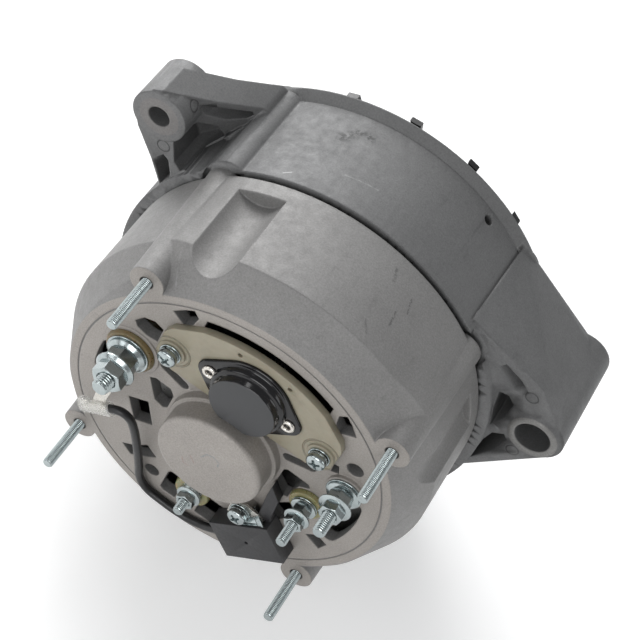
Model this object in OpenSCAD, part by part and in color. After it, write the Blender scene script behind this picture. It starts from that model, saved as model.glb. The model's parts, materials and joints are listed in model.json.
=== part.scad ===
// Heavy-duty 28 V claw-pole alternator with an external fan, shown without its pulley.
// The shaft lies along Y. The drive end looks to -Y, the terminal end to +Y, and Z is up.
// The origin is on the shaft's axis at the shoulder that the pulley's hub seats against.
// All lengths are in millimetres.

/* [Main layout] */
// Distance from the pulley seat's shoulder to the drive end's front face
front_face_y = 23; // [22:0.5:26]
// Distance from the pulley seat's shoulder to the middle of the seam between the housings
seam_y = 85.6; // [83:0.2:87]
// Distance from the pulley seat's shoulder to the flat rear face
rear_face_y = 150; // [149:0.5:154]
// Width of the gap between the two housings
seam_gap = 2.6; // [2:0.1:4]
// Smallest gap kept between curved pieces that fit in each other
fit_gap = 0.15; // [0.1:0.05:0.2]

/* [Rear housing] */
// How far the rear housing's outside lies outside the circle of the bolts
rear_shell = 8; // [7:0.1:9]
// How far the flattened left and right sides lie inside the housings' round outline
side_in = 3.9; // [2:0.1:4.5]
// How far past the shaft the flattened sides have their centre
side_shift = 12.4; // [10:0.2:14]
// Thickness of the cast walls at the flattened sides
side_wall = 6; // [5.4:0.1:6.4]
// Radial width of the slanted corner between the outside and the flat rear face
corner_w = 14.3; // [13:0.1:15]
// Length of that corner along the shaft, at the top
corner_len = 15; // [14:0.5:17]
// Length of that corner along the shaft, at the flattened sides
side_corner_len = 19; // [17:0.5:21]
// Thickness of the rear wall
rear_wall = 6; // [5:0.5:7]
// Width of the flat rim outside the fine groove in the rear face
groove_rim = 4.2; // [3.5:0.1:5]
// Width of that groove
groove_w = 0.7; // [0.5:0.1:1]
// Radius of a bolt ridge where it meets the rear face
ridge_rear_r = 8; // [7:0.25:9]
// Radius of a bolt ridge at the seam
ridge_seam_r = 9.8; // [9:0.1:11]
// Radius of the hub that carries the rear bearing
hub_r = 27; // [26:0.5:28]
// Height of the hub's base ring over the rear face
hub_base_h = 4.6; // [4:0.1:5]
// Radius of the hub's step above the base ring
hub_step_r = 25.3; // [24:0.1:25.8]
// Height of the closed hub over the rear face
hub_h = 16; // [14:0.5:18]
// Radius of the rounding on the hub's end
hub_round = 2; // [1:0.25:3]
// Radius of the space round the slip rings
ring_space_r = 18; // [17:0.5:19]
// Depth of the flute cast beside each bolt ridge
flute_depth = 7; // [4:0.2:7.4]
// Radius of the flute's hollow
flute_r = 13.6; // [12:0.2:18]
// Distance from the seam to the start of a flute
flute_start = 8; // [6:0.5:12]

/* [Drive-end housing] */
// How much larger in radius the drive-end housing is than the rear one
drive_step = 1; // [0.5:0.1:1.5]
// Height of its front rim over its outside
rim_h = 3.8; // [3:0.1:4.5]
// Width of the front rim
rim_w = 6; // [5:0.5:8]
// Thickness of the spoked front wall
front_wall = 7; // [6:0.5:8]
// Radius of the front bearing's hub
front_hub_r = 42; // [41:0.5:44]
// Number of spokes in the front wall
spoke_count = 16; // [14:1:18]
// Width of a spoke
spoke_w = 7; // [6:0.5:9]
// Radius where the air slots between the spokes end
slot_outer_r = 76; // [72:0.5:78]

/* [Ears] */
// Sideways distance from the housing's outside to the pivot bore
pivot_out = 15.5; // [14.5:0.5:17.5]
// Height of the pivot ear's bore
pivot_z = 35; // [33:0.5:37]
// Diameter of the pivot bore
pivot_bore_d = 17; // [16:0.1:18]
// Radius of the boss round the pivot bore
pivot_boss_r = 14; // [13:0.5:15]
// Length of the pivot bore
pivot_len = 57; // [54:0.5:58]
// Sideways distance from the housing's outside to the adjusting bore
adjust_out = 6; // [4.5:0.5:7.5]
// Height of the adjusting ear's bore
adjust_z = 70.5; // [69:0.5:72]
// Diameter of the adjusting bore
adjust_bore_d = 10.4; // [9:0.1:11]
// Radius of the boss round the adjusting bore
adjust_boss_r = 13; // [12:0.5:14]
// Length of the adjusting bore
adjust_len = 25; // [22:0.5:28]

/* [Stator] */
// Outer radius of the stator's laminated core
stator_r = 82; // [81:0.1:82.5]
// Radial thickness of the core, from its bore to its outside
stator_t = 20; // [19.6:0.1:20.4]
// Distance from the core's outside to the middle of the through-bolts
bolt_out = 3.5; // [3.4:0.1:5]
// Length of the stator's core
stator_len = 46; // [42:0.5:50]
// Number of stator slots
slot_count = 36; // [36:6:48]
// Width of a stator slot
slot_w = 6; // [4:0.25:6.5]
// Depth of a stator slot
slot_depth = 13; // [11:0.5:14]
// Width of a slot's opening to the bore
slot_mouth = 2.6; // [2:0.1:3]
// Length of the winding outside the core at each end
overhang = 13; // [11:0.5:14]

/* [Rotor] */
// Air gap between the claw poles and the stator's bore
air_gap = 0.6; // [0.5:0.05:1]
// Number of claws on each pole piece
claw_count = 6; // [6:1:8]
// Thickness of a pole piece's disc
pole_disc = 13; // [12:0.5:14]
// Length of the core between the two pole pieces
core_len = 28; // [26:0.5:30]
// Depth of the claws over the field coil
coil_under = 16.4; // [15.5:0.1:18]
// Radius of the magnetic core inside the field coil
core_r = 27; // [25:0.5:28]
// Width of a claw at its root
claw_root_w = 31; // [28:0.5:32]
// Width of a claw at its tip
claw_tip_w = 15; // [13:0.5:17]
// Thickness of a claw at its tip
claw_tip_t = 4.5; // [4:0.25:6]

/* [Shaft and bearings] */
// Diameter of the pulley seat
seat_d = 17; // [16.6:0.1:17.4]
// Length of the pulley seat
seat_len = 26; // [24:0.5:30]
// Diameter of the shaft's thread
thread_d = 16; // [15:0.1:16.4]
// Length of the shaft's thread
thread_len = 20; // [18:0.5:24]
// Bore of the front bearing
front_bearing_bore = 25; // [24.5:0.1:25.5]
// Outer diameter of the front bearing
front_bearing_od = 62; // [60:0.5:64]
// Width of the front bearing
front_bearing_w = 17; // [16:0.5:18]
// Bore of the rear bearing
rear_bearing_bore = 17; // [16.6:0.1:17.4]
// Outer diameter of the rear bearing
rear_bearing_od = 40; // [39:0.5:41]
// Width of the rear bearing
rear_bearing_w = 12; // [11:0.5:12.5]
// Diameter of the shaft inside the rotor
rotor_shaft_d = 28; // [27:0.5:30]
// Outer radius of the slip rings
slip_r = 14; // [13.5:0.1:14.2]
// Length of one slip ring
slip_w = 5; // [4.8:0.1:5.4]

/* [Fan] */
// Number of fan blades
blade_count = 18; // [14:1:20]
// How far the blades' tips stand out past the housing's outside, next to its rim
blade_out = -1; // [-3:0.5:0]
// Radius of the fan's disc
fan_disc_r = 78; // [74:0.5:79]
// Length of the blades along the shaft
blade_len = 14; // [11:0.5:15]
// Thickness of the fan's sheet
fan_sheet = 2; // [1.5:0.1:2.5]
// Length of the fan's hub bush
fan_hub_len = 9; // [8:0.5:10]

/* [Regulator] */
// Thickness of the regulator's ivory plate
plate_t = 3.5; // [3:0.1:4.5]
// Half the width of the plate
plate_half_w = 44.3; // [43:0.1:46]
// Height of the plate's lower edge over the shaft
plate_low_z = 24.2; // [23.5:0.1:25]
// Width of the rear face's rim over the plate's arched upper edge
plate_rim = 12.9; // [11.5:0.1:14]
// Height of the round cap's centre over the shaft
cap_z = 41.5; // [41:0.1:43]
// Radius of the round cap
cap_r = 15.5; // [14:0.1:16]
// Height of the round cap over its flange
cap_h = 6.7; // [5:0.1:8]
// Thickness of the cap's flange
flange_t = 1.5; // [1:0.1:2]
// Half the distance between the two rivets
rivet_x = 19.4; // [18.5:0.1:20.5]
// Half the distance between the two plate screws
plate_screw_x = 37.5; // [36.5:0.1:38]
// Height of the plate screws over the shaft
plate_screw_z = 36; // [35:0.1:38]
// Thickness of a carbon brush along the shaft
brush_t = 4.4; // [4:0.1:4.6]
// Width of a carbon brush
brush_w = 7; // [6:0.1:7.5]
// Length of a new carbon brush
brush_len = 20; // [18:0.5:21]

/* [Terminals] */
// Diameter of the positive output stud
plus_d = 8; // [7:0.1:8.4]
// Diameter of the ground stud
ground_d = 6; // [5:0.1:6.4]
// Diameter of the phase stud, the field stud and the through-bolts
small_d = 5; // [4.5:0.1:5.2]
// How far the through-bolts stand out of the rear face
bolt_reach = 27; // [24:0.5:30]
// How far the positive and ground studs stand out of the rear face
stud_reach = 26; // [25:0.5:29]
// How far the field stud stands out of the rear face
field_reach = 15; // [14:0.5:18]

/* [Suppressor] */
// Length of the suppression capacitor's box
box_len = 32.5; // [30:0.5:34]
// Width of the capacitor's box
box_w = 21.5; // [20:0.5:23]
// Height of the box's face over the rear face
box_h = 10; // [9:0.5:11]
// Diameter of the capacitor's lead
lead_d = 4; // [4:0.1:4.4]

/* [Hidden] */
$fn = 72;
quarter = 90;
over = 1;

// Axial stations, all worked out from the layout above
rear_front_y = seam_y + seam_gap / 2;
drive_rear_y = seam_y - seam_gap / 2;
rear_inner_y = rear_face_y - rear_wall;
spacer_start = fan_hub_len;
front_bearing_y = front_face_y + 2;
front_bearing_end = front_bearing_y + front_bearing_w;
rotor_mid_y = seam_y - 4;
stator_y = rotor_mid_y - stator_len / 2;
stator_end = stator_y + stator_len;
core_start = rotor_mid_y - core_len / 2;
core_end = rotor_mid_y + core_len / 2;
rear_bearing_end = rear_face_y - 14;
rear_bearing_y = rear_bearing_end - rear_bearing_w;
hub_end = rear_face_y + hub_h;
shaft_end = rear_face_y + 5;
thread_end = -seat_len - thread_len;

// Radii of the housings, worked out from the stator outwards
bolt_circle_r = stator_r + bolt_out;
rear_r = bolt_circle_r + rear_shell;
rear_face_r = rear_r - corner_w;
groove_r = rear_face_r - groove_rim;
drive_r = rear_r + drive_step;
rim_r = drive_r + rim_h;
blade_r = drive_r + blade_out;
rear_inner_r = rear_r - side_in - side_wall;
drive_inner_r = drive_r - side_in - side_wall;
stator_bore_r = stator_r - stator_t;
pole_r = stator_bore_r - air_gap;
coil_r = pole_r - coil_under;
pivot_x = -drive_r - pivot_out;
adjust_x = drive_r + adjust_out;
ear_inset = 2.3;
ear_rear_y = drive_rear_y - ear_inset;
stator_seat_r = stator_r + fit_gap;
bolt_hole_r = small_d / 2 + 0.4;
dip = 3;
bolt_angles = [45, 135, 225, 315];
rib_angles = [0, 22.5, 67.5, 90, 112.5, 157.5, 180, 202.5, 247.5, 270, 292.5, 337.5];
rib_w = 8;

// Brushes and slip rings
ring_gap = 2.2;
ring_one_y = rear_bearing_end + 3.8;
ring_two_y = ring_one_y + slip_w + ring_gap;
brush_ys = [ring_one_y + slip_w / 2, ring_two_y + slip_w / 2];
brush_foot = slip_r + 0.3;
brush_top = brush_foot + brush_len;
brush_gap = 0.15;
brush_wall = 1.6;
holder_low = slip_r + 2;
holder_top = brush_top + 12.5;
holder_y = brush_ys[0] - brush_t / 2 - brush_wall;
holder_end = rear_face_y + plate_t - 0.1;
holder_half_w = brush_w / 2 + brush_wall + brush_gap;

// Terminal places on the rear face as [x, z]
plus_at = [54, 15];
ground_at = [-55, 20];
w_at = [-45, -5];
field_at = [0, -50];
cap_screw_at = [-23.2, -33];
box_at = [-33.4, -46.2];
box_turn = 135;
plus_washer_t = 3;
plus_flange_r = 12;

// Metric flange nuts as [width across flats, height, flange radius]
m8_nut = [13, 8, 9];
m6_nut = [10, 6, 7.2];
m5_nut = [8, 5, 6];
nut_play = 0.1;
ring_sheet = 0.8;

// Phillips screws of the rear face
screw_d = 5;
screw_head_r = 4.3;
screw_head_h = 3.2;
washer_r = 5;
flat_t = 1;
spring_t = 1.2;

// Rectifier
sink_t = 3;
sink_in_r = 31;
sink_out_r = bolt_circle_r - 12.5;
diode_r = 6.3;
diode_h = 4;
diode_circle_r = 50;
diode_angles = [150, 212, 240, 300, 330, 355];
post_r = 4.2;
post_places = [polar(sink_out_r - 6.6, 154.6), polar(sink_out_r - 4.4, 223.2), polar(sink_out_r - 6.6, 329.2),
  polar(sink_out_r - 5, 22)];
positive_y = rear_inner_y - 10;
negative_y = positive_y - 10;
insulator_t = 2;
sink_cut = 44;

// Windows in the rear face, each an outline of [x, z] points
upper_slots = [[[45.5, 55], [41, 60.5], [37.5, 63.5], [34.5, 60.5], [35.5, 54.5], [39, 51]],
  [[-45.5, 55], [-41, 60.5], [-37.5, 63.5], [-34.5, 60.5], [-35.5, 54.5], [-39, 51]]];
plus_side = [[[58, 34], [55, 39.5], [50, 41.5], [45.5, 40], [45.5, 30], [51, 29.5], [56, 31]],
  [[41.5, 5], [39, 7], [31, 6.5], [28.5, 3], [28.5, -7], [30.5, -9], [35, -7.5], [37.5, -3]],
  [[46, -17], [37, -12], [30.5, -26], [39, -30.5]],
  [[28, -42], [22, -46.5], [25.5, -50.5], [33, -57], [39, -52.5], [33.5, -48.5]]];
ground_side = [[[-28.5, 5.5], [-30, 7], [-41, 6.5], [-42.5, 4.5], [-41, 3], [-38, 1], [-36.5, -5], [-36.5, -11],
  [-34, -12], [-28.5, -7]],
  [[-46.5, -17], [-38.5, -13.5], [-31, -24], [-31, -27], [-39, -30.5]],
  [[-57, -22.5], [-63, -25], [-61, -31.5], [-52.5, -27.5]],
  [[-44.5, 30.5], [-46.8, 31], [-48.5, 26.5], [-45, 24.5]]];
foot_windows = [[[5.5, -49], [13, -49], [14, -51], [14, -65], [12, -66.5], [5.5, -66.5]],
  [[-5.5, -49], [-16, -49], [-20, -51], [-19, -64], [-16, -66.5], [-5.5, -66.5]]];
round_windows = [[-53, 35.5, 4], [21, -57.5, 3.8]];
slot_windows = [[[37.5, 18.3], [27, 14.8]], [[-37.5, 18.3], [-27, 14.8]]];
slot_window_r = 2.5;
arc_window = [60.5, 67];
arc_ends = [[-8, 7], [169, 196]];

// Half the opening behind the regulator
regulator_hole_w = 39.5;
regulator_hole_low = 29;
regulator_hole_top_w = 31;
plate_top_r = rear_face_r - plate_rim;
regulator_hole_r = plate_top_r + 3.5;
screw_pad_r = 8;

// Ear outlines as [x, z] points, tied to the housing's wall and to the bores
function polar(r, a) = [r * cos(a), r * sin(a)];
function by_pivot(x, z) = [pivot_x + x, pivot_z + z];
function by_adjust(x, z) = [adjust_x + x, adjust_z + z];
wall_in = drive_r - 3;
pivot_rear = [polar(drive_r + 1, 127.5), by_pivot(30, 32), by_pivot(18.5, 31), by_pivot(9, 27.5),
  by_pivot(-2.5, 16.5), by_pivot(-12, 7), by_pivot(-12.6, -6), by_pivot(-7, -12.1), polar(drive_r - 1.7, 191),
  polar(wall_in, 183), polar(wall_in, 150)];
pivot_front = [polar(drive_r + 1, 128.5), polar(drive_r + 1.5, 132.5), by_pivot(7, 10.8), by_pivot(-11, 7),
  by_pivot(-12.6, -6), by_pivot(-7, -12.1), polar(drive_r - 1.7, 191), polar(wall_in, 183), polar(wall_in, 150)];
pivot_slot = [polar(drive_r + 5, 143), by_pivot(29, 28.5), by_pivot(19, 25), by_pivot(13.7, 21.3),
  by_pivot(14.9, 17), by_pivot(20, 18.3)];
slot_pocket_depth = 13;
pivot_pockets = [[polar(drive_r + 3, 152), by_pivot(19.5, 12), by_pivot(15, 8.5), by_pivot(14.8, -1),
  by_pivot(16.8, -9), polar(drive_r + 0.8, 166), polar(drive_r + 0.6, 159)],
  [by_pivot(10, -12), by_pivot(7.5, -14.5), by_pivot(9, -25.5), polar(drive_r + 0.6, 183.5),
  polar(drive_r + 0.6, 173), by_pivot(14.5, -16)]];
adjust_pockets = [[polar(drive_r + 4.5, 45.5), by_adjust(-14.5, 6.5), by_adjust(-14.5, 1.5), by_adjust(-17.5, -10),
  polar(drive_r + 2, 39.5)],
  [by_adjust(-12.5, -5.5), by_adjust(-10.5, -11), by_adjust(-9.5, -16.5), polar(drive_r + 2.5, 26.5),
  polar(drive_r + 2, 34)],
  [by_adjust(-6.5, -18.5), by_adjust(-3.5, -18), polar(drive_r + 5, 21), polar(drive_r + 2.5, 23)]];
ear_web = 10;

// Route of the capacitor's lead, from the terminal to the capacitor's side
lead_path = [[49.3, 162, -15.9], [46.8, 162, -13.9], [43.8, 161.6, -12.9], [40.8, 161, -13.9], [38, 160, -17.5],
  [35.3, 159, -23.5], [33, 158, -30.2], [30.5, 156.8, -38.5], [28.3, 155.5, -46.5], [26.3, 154.4, -54.5],
  [24.6, 153.4, -61.5], [21.8, 152.6, -67], [17, 152.3, -70.3], [10, 152.2, -71.4], [2, 152.2, -71.7],
  [-6, 152.2, -70.8], [-12, 152.6, -68.1], [-16.2, 153.6, -64.2], [-19.2, 154.3, -60.6], [-21.6, 154.5, -58]];
lead_sides = 8;
sleeve_at = [54.6, -20];
sleeve_turn = -38;
sleeve_y = 162;

// A solid whose outline in the X-Z plane is extruded from y0 along +Y
module along_y(y0, len) {
  translate([0, y0 + len, 0]) rotate([quarter, 0, 0]) linear_extrude(len) children();
}

// A solid turned about the shaft's axis from a profile of [radius, y]
module turned() {
  rotate([-quarter, 0, 0]) rotate_extrude() children();
}

// A rod parallel to the shaft at [x, z]
module rod(y0, len, r, at = [0, 0], r_end = -1) {
  translate([at[0], y0, at[1]]) rotate([-quarter, 0, 0]) cylinder(h = len, r1 = r, r2 = r_end < 0 ? r : r_end);
}

// A ring parallel to the shaft at [x, z]
module ring(y0, len, r, hole, at = [0, 0]) {
  difference() {
    rod(y0, len, r, at);
    rod(y0 - over, len + 2 * over, hole, at);
  }
}

// Children repeated about the shaft, first along +X
module about_shaft(angles) {
  for (a = angles) rotate([0, -a, 0]) children();
}

// A round-ended slot between two points, its sides a hair inside the end circles
slot_waist = 0.985;
module slot_2d(a, b, r) {
  translate(a) circle(r);
  translate(b) circle(r);
  span = b - a;
  translate(a) rotate(atan2(span[1], span[0])) translate([0, -r * slot_waist]) square([norm(span), 2 * r * slot_waist]);
}

// A sector of a ring with round ends
module arc_slot_2d(r_in, r_out, a0, a1) {
  mid = (r_in + r_out) / 2;
  half = (r_out - r_in) / 2 * slot_waist;
  difference() {
    circle(r_out);
    circle(r_in);
    rotate(a1) translate([-2 * r_out, 0]) square(4 * r_out);
    rotate(a0) translate([-2 * r_out, -4 * r_out]) square(4 * r_out);
  }
  for (a = [a0, a1]) translate(polar(mid, a)) circle(half);
}

// A flange nut with its flange towards the face, drilled with a running clearance
module flange_nut(y0, nut, thread, at) {
  flange_h = nut[1] * 0.22;
  difference() {
    union() {
      rod(y0, flange_h, nut[2], at);
      intersection() {
        translate([at[0], y0, at[1]]) rotate([-quarter, 0, 0]) cylinder(h = nut[1], r = nut[0] / sqrt(3), $fn = 6);
        rod(y0, nut[1], nut[0] / 2 + nut[1] * 0.75, at, nut[0] / 2 * 0.96);
      }
    }
    rod(y0 - over, nut[1] + 2 * over, thread / 2 + nut_play, at);
  }
}

// A stud with a chamfered tip
module stud(y0, y1, d, at) {
  tip = d * 0.12;
  rod(y0, y1 - y0 - tip, d / 2, at);
  rod(y1 - tip, tip, d / 2, at, d / 2 - tip);
}

// A deep groove bearing ring pair: profile pieces shared by both bearings
function race_mid(bore, od) = (bore + od) / 4;
function ball_radius(bore, od) = (od - bore) * 0.15;
ball_gap = 0.1;

module outer_race(y0, w, bore, od) {
  mid = race_mid(bore, od);
  ball = ball_radius(bore, od);
  turned() difference() {
    translate([mid + ball * 0.55, y0]) square([od / 2 - mid - ball * 0.55, w]);
    translate([mid, y0 + w / 2]) circle(ball + ball_gap);
  }
}

module inner_race(y0, w, bore, od) {
  mid = race_mid(bore, od);
  ball = ball_radius(bore, od);
  turned() difference() {
    translate([bore / 2 + 0.02, y0]) square([mid - ball * 0.55 - bore / 2 - 0.02, w]);
    translate([mid, y0 + w / 2]) circle(ball + ball_gap);
  }
}

module balls(y0, w, bore, od, count) {
  about_shaft([for (i = [0:count - 1]) i * 360 / count])
    translate([race_mid(bore, od), y0 + w / 2, 0]) sphere(ball_radius(bore, od), $fn = 24);
}

module cage(y0, w, bore, od, count) {
  mid = race_mid(bore, od);
  ball = ball_radius(bore, od);
  band = ball * 0.35;
  difference() {
    ring(y0 + w / 2 - ball * 1.25, ball * 2.5, mid + band, mid - band);
    about_shaft([for (i = [0:count - 1]) i * 360 / count])
      translate([mid - 2 * band, y0 + w / 2, 0]) rotate([0, quarter, 0]) cylinder(h = 4 * band, r = ball + ball_gap);
  }
}

// A tube swept along points, its rings set out from a fixed reference direction
function unit(v) = v / norm(v);
function tangent(p, i) = unit(p[min(i + 1, len(p) - 1)] - p[max(i - 1, 0)]);
module tube(path, r, sides, ref) {
  count = len(path);
  points = [for (i = [0:count - 1])
    let (t = tangent(path, i), u = unit(cross(t, ref)), v = cross(t, u))
      for (k = [0:sides - 1]) path[i] + r * (cos(k * 360 / sides) * u + sin(k * 360 / sides) * v)];
  walls = [for (i = [0:count - 2], k = [0:sides - 1])
    let (n = (k + 1) % sides) [i * sides + k, (i + 1) * sides + k, (i + 1) * sides + n, i * sides + n]];
  start = [for (k = [0:sides - 1]) k];
  end = [for (k = [sides - 1:-1:0]) (count - 1) * sides + k];
  polyhedron(points, concat(walls, [start, end]), convexity = 10);
}

// A hexagon nut or bolt head with its corners turned off
module hexagon(y0, h, flats, at = [0, 0]) {
  intersection() {
    translate([at[0], y0, at[1]]) rotate([-quarter, 0, 0]) cylinder(h = h, r = flats / sqrt(3), $fn = 6);
    rod(y0, h, flats / sqrt(3) * 1.12, at, flats / 2 * 0.98);
  }
}

// Places on the bolt circle
module at_bolts() {
  for (a = bolt_angles) about_shaft([a]) translate([bolt_circle_r, 0, 0]) children();
}

// Inner ribs and bolt columns that hold the stator, from y0 to y1
module stator_ribs(y0, y1, wall_r) {
  about_shaft(rib_angles) translate([stator_r - rib_over, y0, -rib_w / 2])
    cube([wall_r + rib_root - stator_r + rib_over, y1 - y0, rib_w]);
}
rib_over = 1.5;
rib_root = 0.8;

// The housings' outline, flattened at the left and right
module flattened(r, y0, y1) {
  for (s = [-1, 1]) translate([s * side_shift, 0, 0]) rod(y0, y1 - y0, r - side_in + side_shift);
}

module rear_solid() {
  side_r = rear_r - side_in + side_shift;
  side_face_r = rear_face_r + side_shift;
  intersection() {
    turned() polygon([[0, rear_front_y], [rear_r, rear_front_y], [rear_r, rear_face_y - corner_len],
      [rear_face_r, rear_face_y], [0, rear_face_y]]);
    translate([side_shift, 0, 0]) turned() polygon([[0, rear_front_y], [side_r, rear_front_y],
      [side_r, rear_face_y - side_corner_len], [side_face_r, rear_face_y], [0, rear_face_y]]);
    translate([-side_shift, 0, 0]) turned() polygon([[0, rear_front_y], [side_r, rear_front_y],
      [side_r, rear_face_y - side_corner_len], [side_face_r, rear_face_y], [0, rear_face_y]]);
  }
}

module rear_cavity() {
  turned() polygon([[0, rear_front_y - over], [rear_inner_r, rear_front_y - over],
    [rear_inner_r, rear_face_y - side_corner_len - 2.5], [rear_face_r - 3, rear_inner_y], [0, rear_inner_y]]);
}

// The hub over the rear face, with its base ring, its step and a rounded end
module hub_outside() {
  rod(rear_inner_y, rear_wall + hub_base_h, hub_r);
  turned() {
    translate([0, rear_face_y]) square([hub_step_r, hub_h - hub_round]);
    translate([0, rear_face_y]) square([hub_step_r - hub_round, hub_h]);
    translate([hub_step_r - hub_round, hub_end - hub_round]) circle(hub_round);
  }
}

// The outline of the opening behind the regulator
module regulator_opening_2d() {
  difference() {
    intersection() {
      circle(regulator_hole_r);
      union() {
        translate([-regulator_hole_w, regulator_hole_low]) square([2 * regulator_hole_w, 16]);
        translate([-regulator_hole_top_w, regulator_hole_low]) square([2 * regulator_hole_top_w, regulator_hole_r]);
      }
    }
    for (s = [-1, 1]) translate([s * plate_screw_x, plate_screw_z]) circle(screw_pad_r);
  }
}

module rear_windows_2d() {
  for (w = upper_slots) polygon(w);
  for (w = plus_side) polygon(w);
  for (w = ground_side) polygon(w);
  for (w = foot_windows) polygon(w);
  for (w = round_windows) translate([w[0], w[1]]) circle(w[2]);
  for (w = slot_windows) slot_2d(w[0], w[1], slot_window_r);
  for (e = arc_ends) arc_slot_2d(arc_window[0], arc_window[1], e[0], e[1]);
  regulator_opening_2d();
}

// Round flutes beside the bolt ridges, open towards the rear
module flutes() {
  about_shaft([for (a = bolt_angles) a + flute_turn])
    rod(rear_front_y + flute_start, rear_face_y, flute_r, [rear_r - flute_depth + flute_r, 0]);
}
flute_turn = 17;
ground_boss_h = 2;
ground_boss_r = 9;
plus_boss_h = 0.8;
cap_boss_h = 5;
cap_boss_r = 5.4;
groove_depth = 0.5;
bush_gap = 0.1;
plus_bush_r = 6.5;
small_bush_r = 4.5;
small_washer_t = 2.5;

module rear_housing() {
  color("#a8a39f") difference() {
    union() {
      difference() {
        rear_solid();
        rear_cavity();
      }
      difference() {
        union() {
          at_bolts() rod(rear_front_y - dip, rear_face_y - rear_front_y + dip, ridge_seam_r, [0, 0], ridge_rear_r);
          stator_ribs(rear_front_y, stator_end + 10, rear_inner_r);
        }
        rod(rear_front_y - 2 * dip, rear_inner_y - rear_front_y + 2 * dip, stator_r - rib_over);
      }
      rod(rear_bearing_y - 2, rear_wall + rear_inner_y - rear_bearing_y, hub_r);
      hub_outside();
      rod(rear_face_y - over, over + ground_boss_h, ground_boss_r, ground_at);
      rod(rear_face_y - over, over + plus_boss_h, plus_flange_r + 1.6, plus_at);
      rod(rear_face_y - over, over + cap_boss_h, cap_boss_r, cap_screw_at);
      for (p = post_places) rod(positive_y + sink_t + insulator_t, rear_inner_y - positive_y - insulator_t, post_r, p);
    }
    rod(rear_front_y - 2 * dip, stator_end - rear_front_y + 2 * dip, stator_seat_r);
    at_bolts() rod(rear_front_y - 2 * dip, rear_face_y, bolt_hole_r);
    rod(rear_bearing_y - 3, rear_bearing_w + 3, rear_bearing_od / 2 + 0.02);
    rod(rear_bearing_end - over, hub_end - 3 - rear_bearing_end + over, ring_space_r);
    translate([-holder_half_w - 0.6, holder_y - 0.6, 0])
      cube([2 * holder_half_w + 1.2, holder_end + 0.6 - holder_y + 0.6, regulator_hole_low + over]);
    along_y(rear_inner_y - 1.5, rear_wall + 3) rear_windows_2d();
    flutes();
    ring(rear_face_y - groove_depth, 2 * groove_depth, groove_r + groove_w / 2, groove_r - groove_w / 2);
    rod(rear_inner_y - over, 2 * rear_wall, ground_d / 2 + 0.05, ground_at);
    rod(rear_inner_y - over, 2 * rear_wall, plus_bush_r + bush_gap, plus_at);
    for (p = [w_at, field_at]) rod(rear_inner_y - over, 2 * rear_wall, small_bush_r + bush_gap, p);
    for (s = [-1, 1]) rod(rear_inner_y - over, 2 * rear_wall, screw_d / 2 + 0.05, [s * plate_screw_x, plate_screw_z]);
    rod(rear_inner_y - over, 3 * rear_wall, screw_d / 2 + 0.05, cap_screw_at);
    for (p = post_places) rod(positive_y, rear_inner_y - positive_y, rectifier_screw_r + 0.1, p);
  }
}
rectifier_screw_r = 2;

module drive_solid() {
  rim_end = front_face_y + rim_w;
  turned() polygon([[0, front_face_y], [rim_r - 4.4, front_face_y], [rim_r, front_face_y + 4],
    [rim_r, rim_end - 1], [drive_r - 0.8, rim_end + 2.8], [drive_r - side_in - 1, rim_end + 3.6], [0, rim_end + 3.6]]);
  intersection() {
    rod(rim_end + 2.8, drive_rear_y - rim_end - 2.8, drive_r);
    flattened(drive_r, rim_end, drive_rear_y);
  }
}
boss_ring_h = 2.4;
boss_ring_r = 11.8;

module pivot_ear() {
  hull() {
    along_y(ear_rear_y - 10, 10 - boss_ring_h) polygon(pivot_rear);
    along_y(ear_rear_y - pivot_len + 1, 4) polygon(pivot_front);
  }
  rod(ear_rear_y - pivot_len, pivot_len - boss_ring_h, pivot_boss_r, [pivot_x, pivot_z]);
  rod(ear_rear_y - pivot_len, pivot_len, boss_ring_r, [pivot_x, pivot_z]);
}

// The web rises from the wall to a little below the boss, which stands proud of it
module adjust_ear() {
  hull() {
    rod(ear_rear_y - adjust_len + 1, adjust_len - 2, 7, by_adjust(-3, -1.5));
    rod(ear_rear_y - adjust_len + 1, adjust_len - 2, 8, by_adjust(4, -4));
    translate([drive_r - 36, front_face_y + rim_w - 1.5, adjust_z - 2.5]) cube([7, 10.5, 6]);
    translate([drive_r - 12.5, ear_rear_y - 30, 27]) cube([6, 29, 6]);
  }
  rod(ear_rear_y - adjust_len, adjust_len, adjust_boss_r, [adjust_x, adjust_z]);
}

// The spoked air outlet of the front wall
module front_slots_2d() {
  difference() {
    circle(slot_outer_r);
    circle(front_hub_r + 3);
    for (i = [0:spoke_count - 1]) rotate((i + 0.5) * 360 / spoke_count) translate([0, -spoke_w / 2])
      square([slot_outer_r + over, spoke_w]);
  }
}
column_r = 11.5;
retainer_screw_circle = 36.5;
retainer_angles = [45, 135, 225, 315];
head_pocket_r = 6.2;
head_pocket_depth = 5.5;
drain_r = 2.4;

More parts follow.
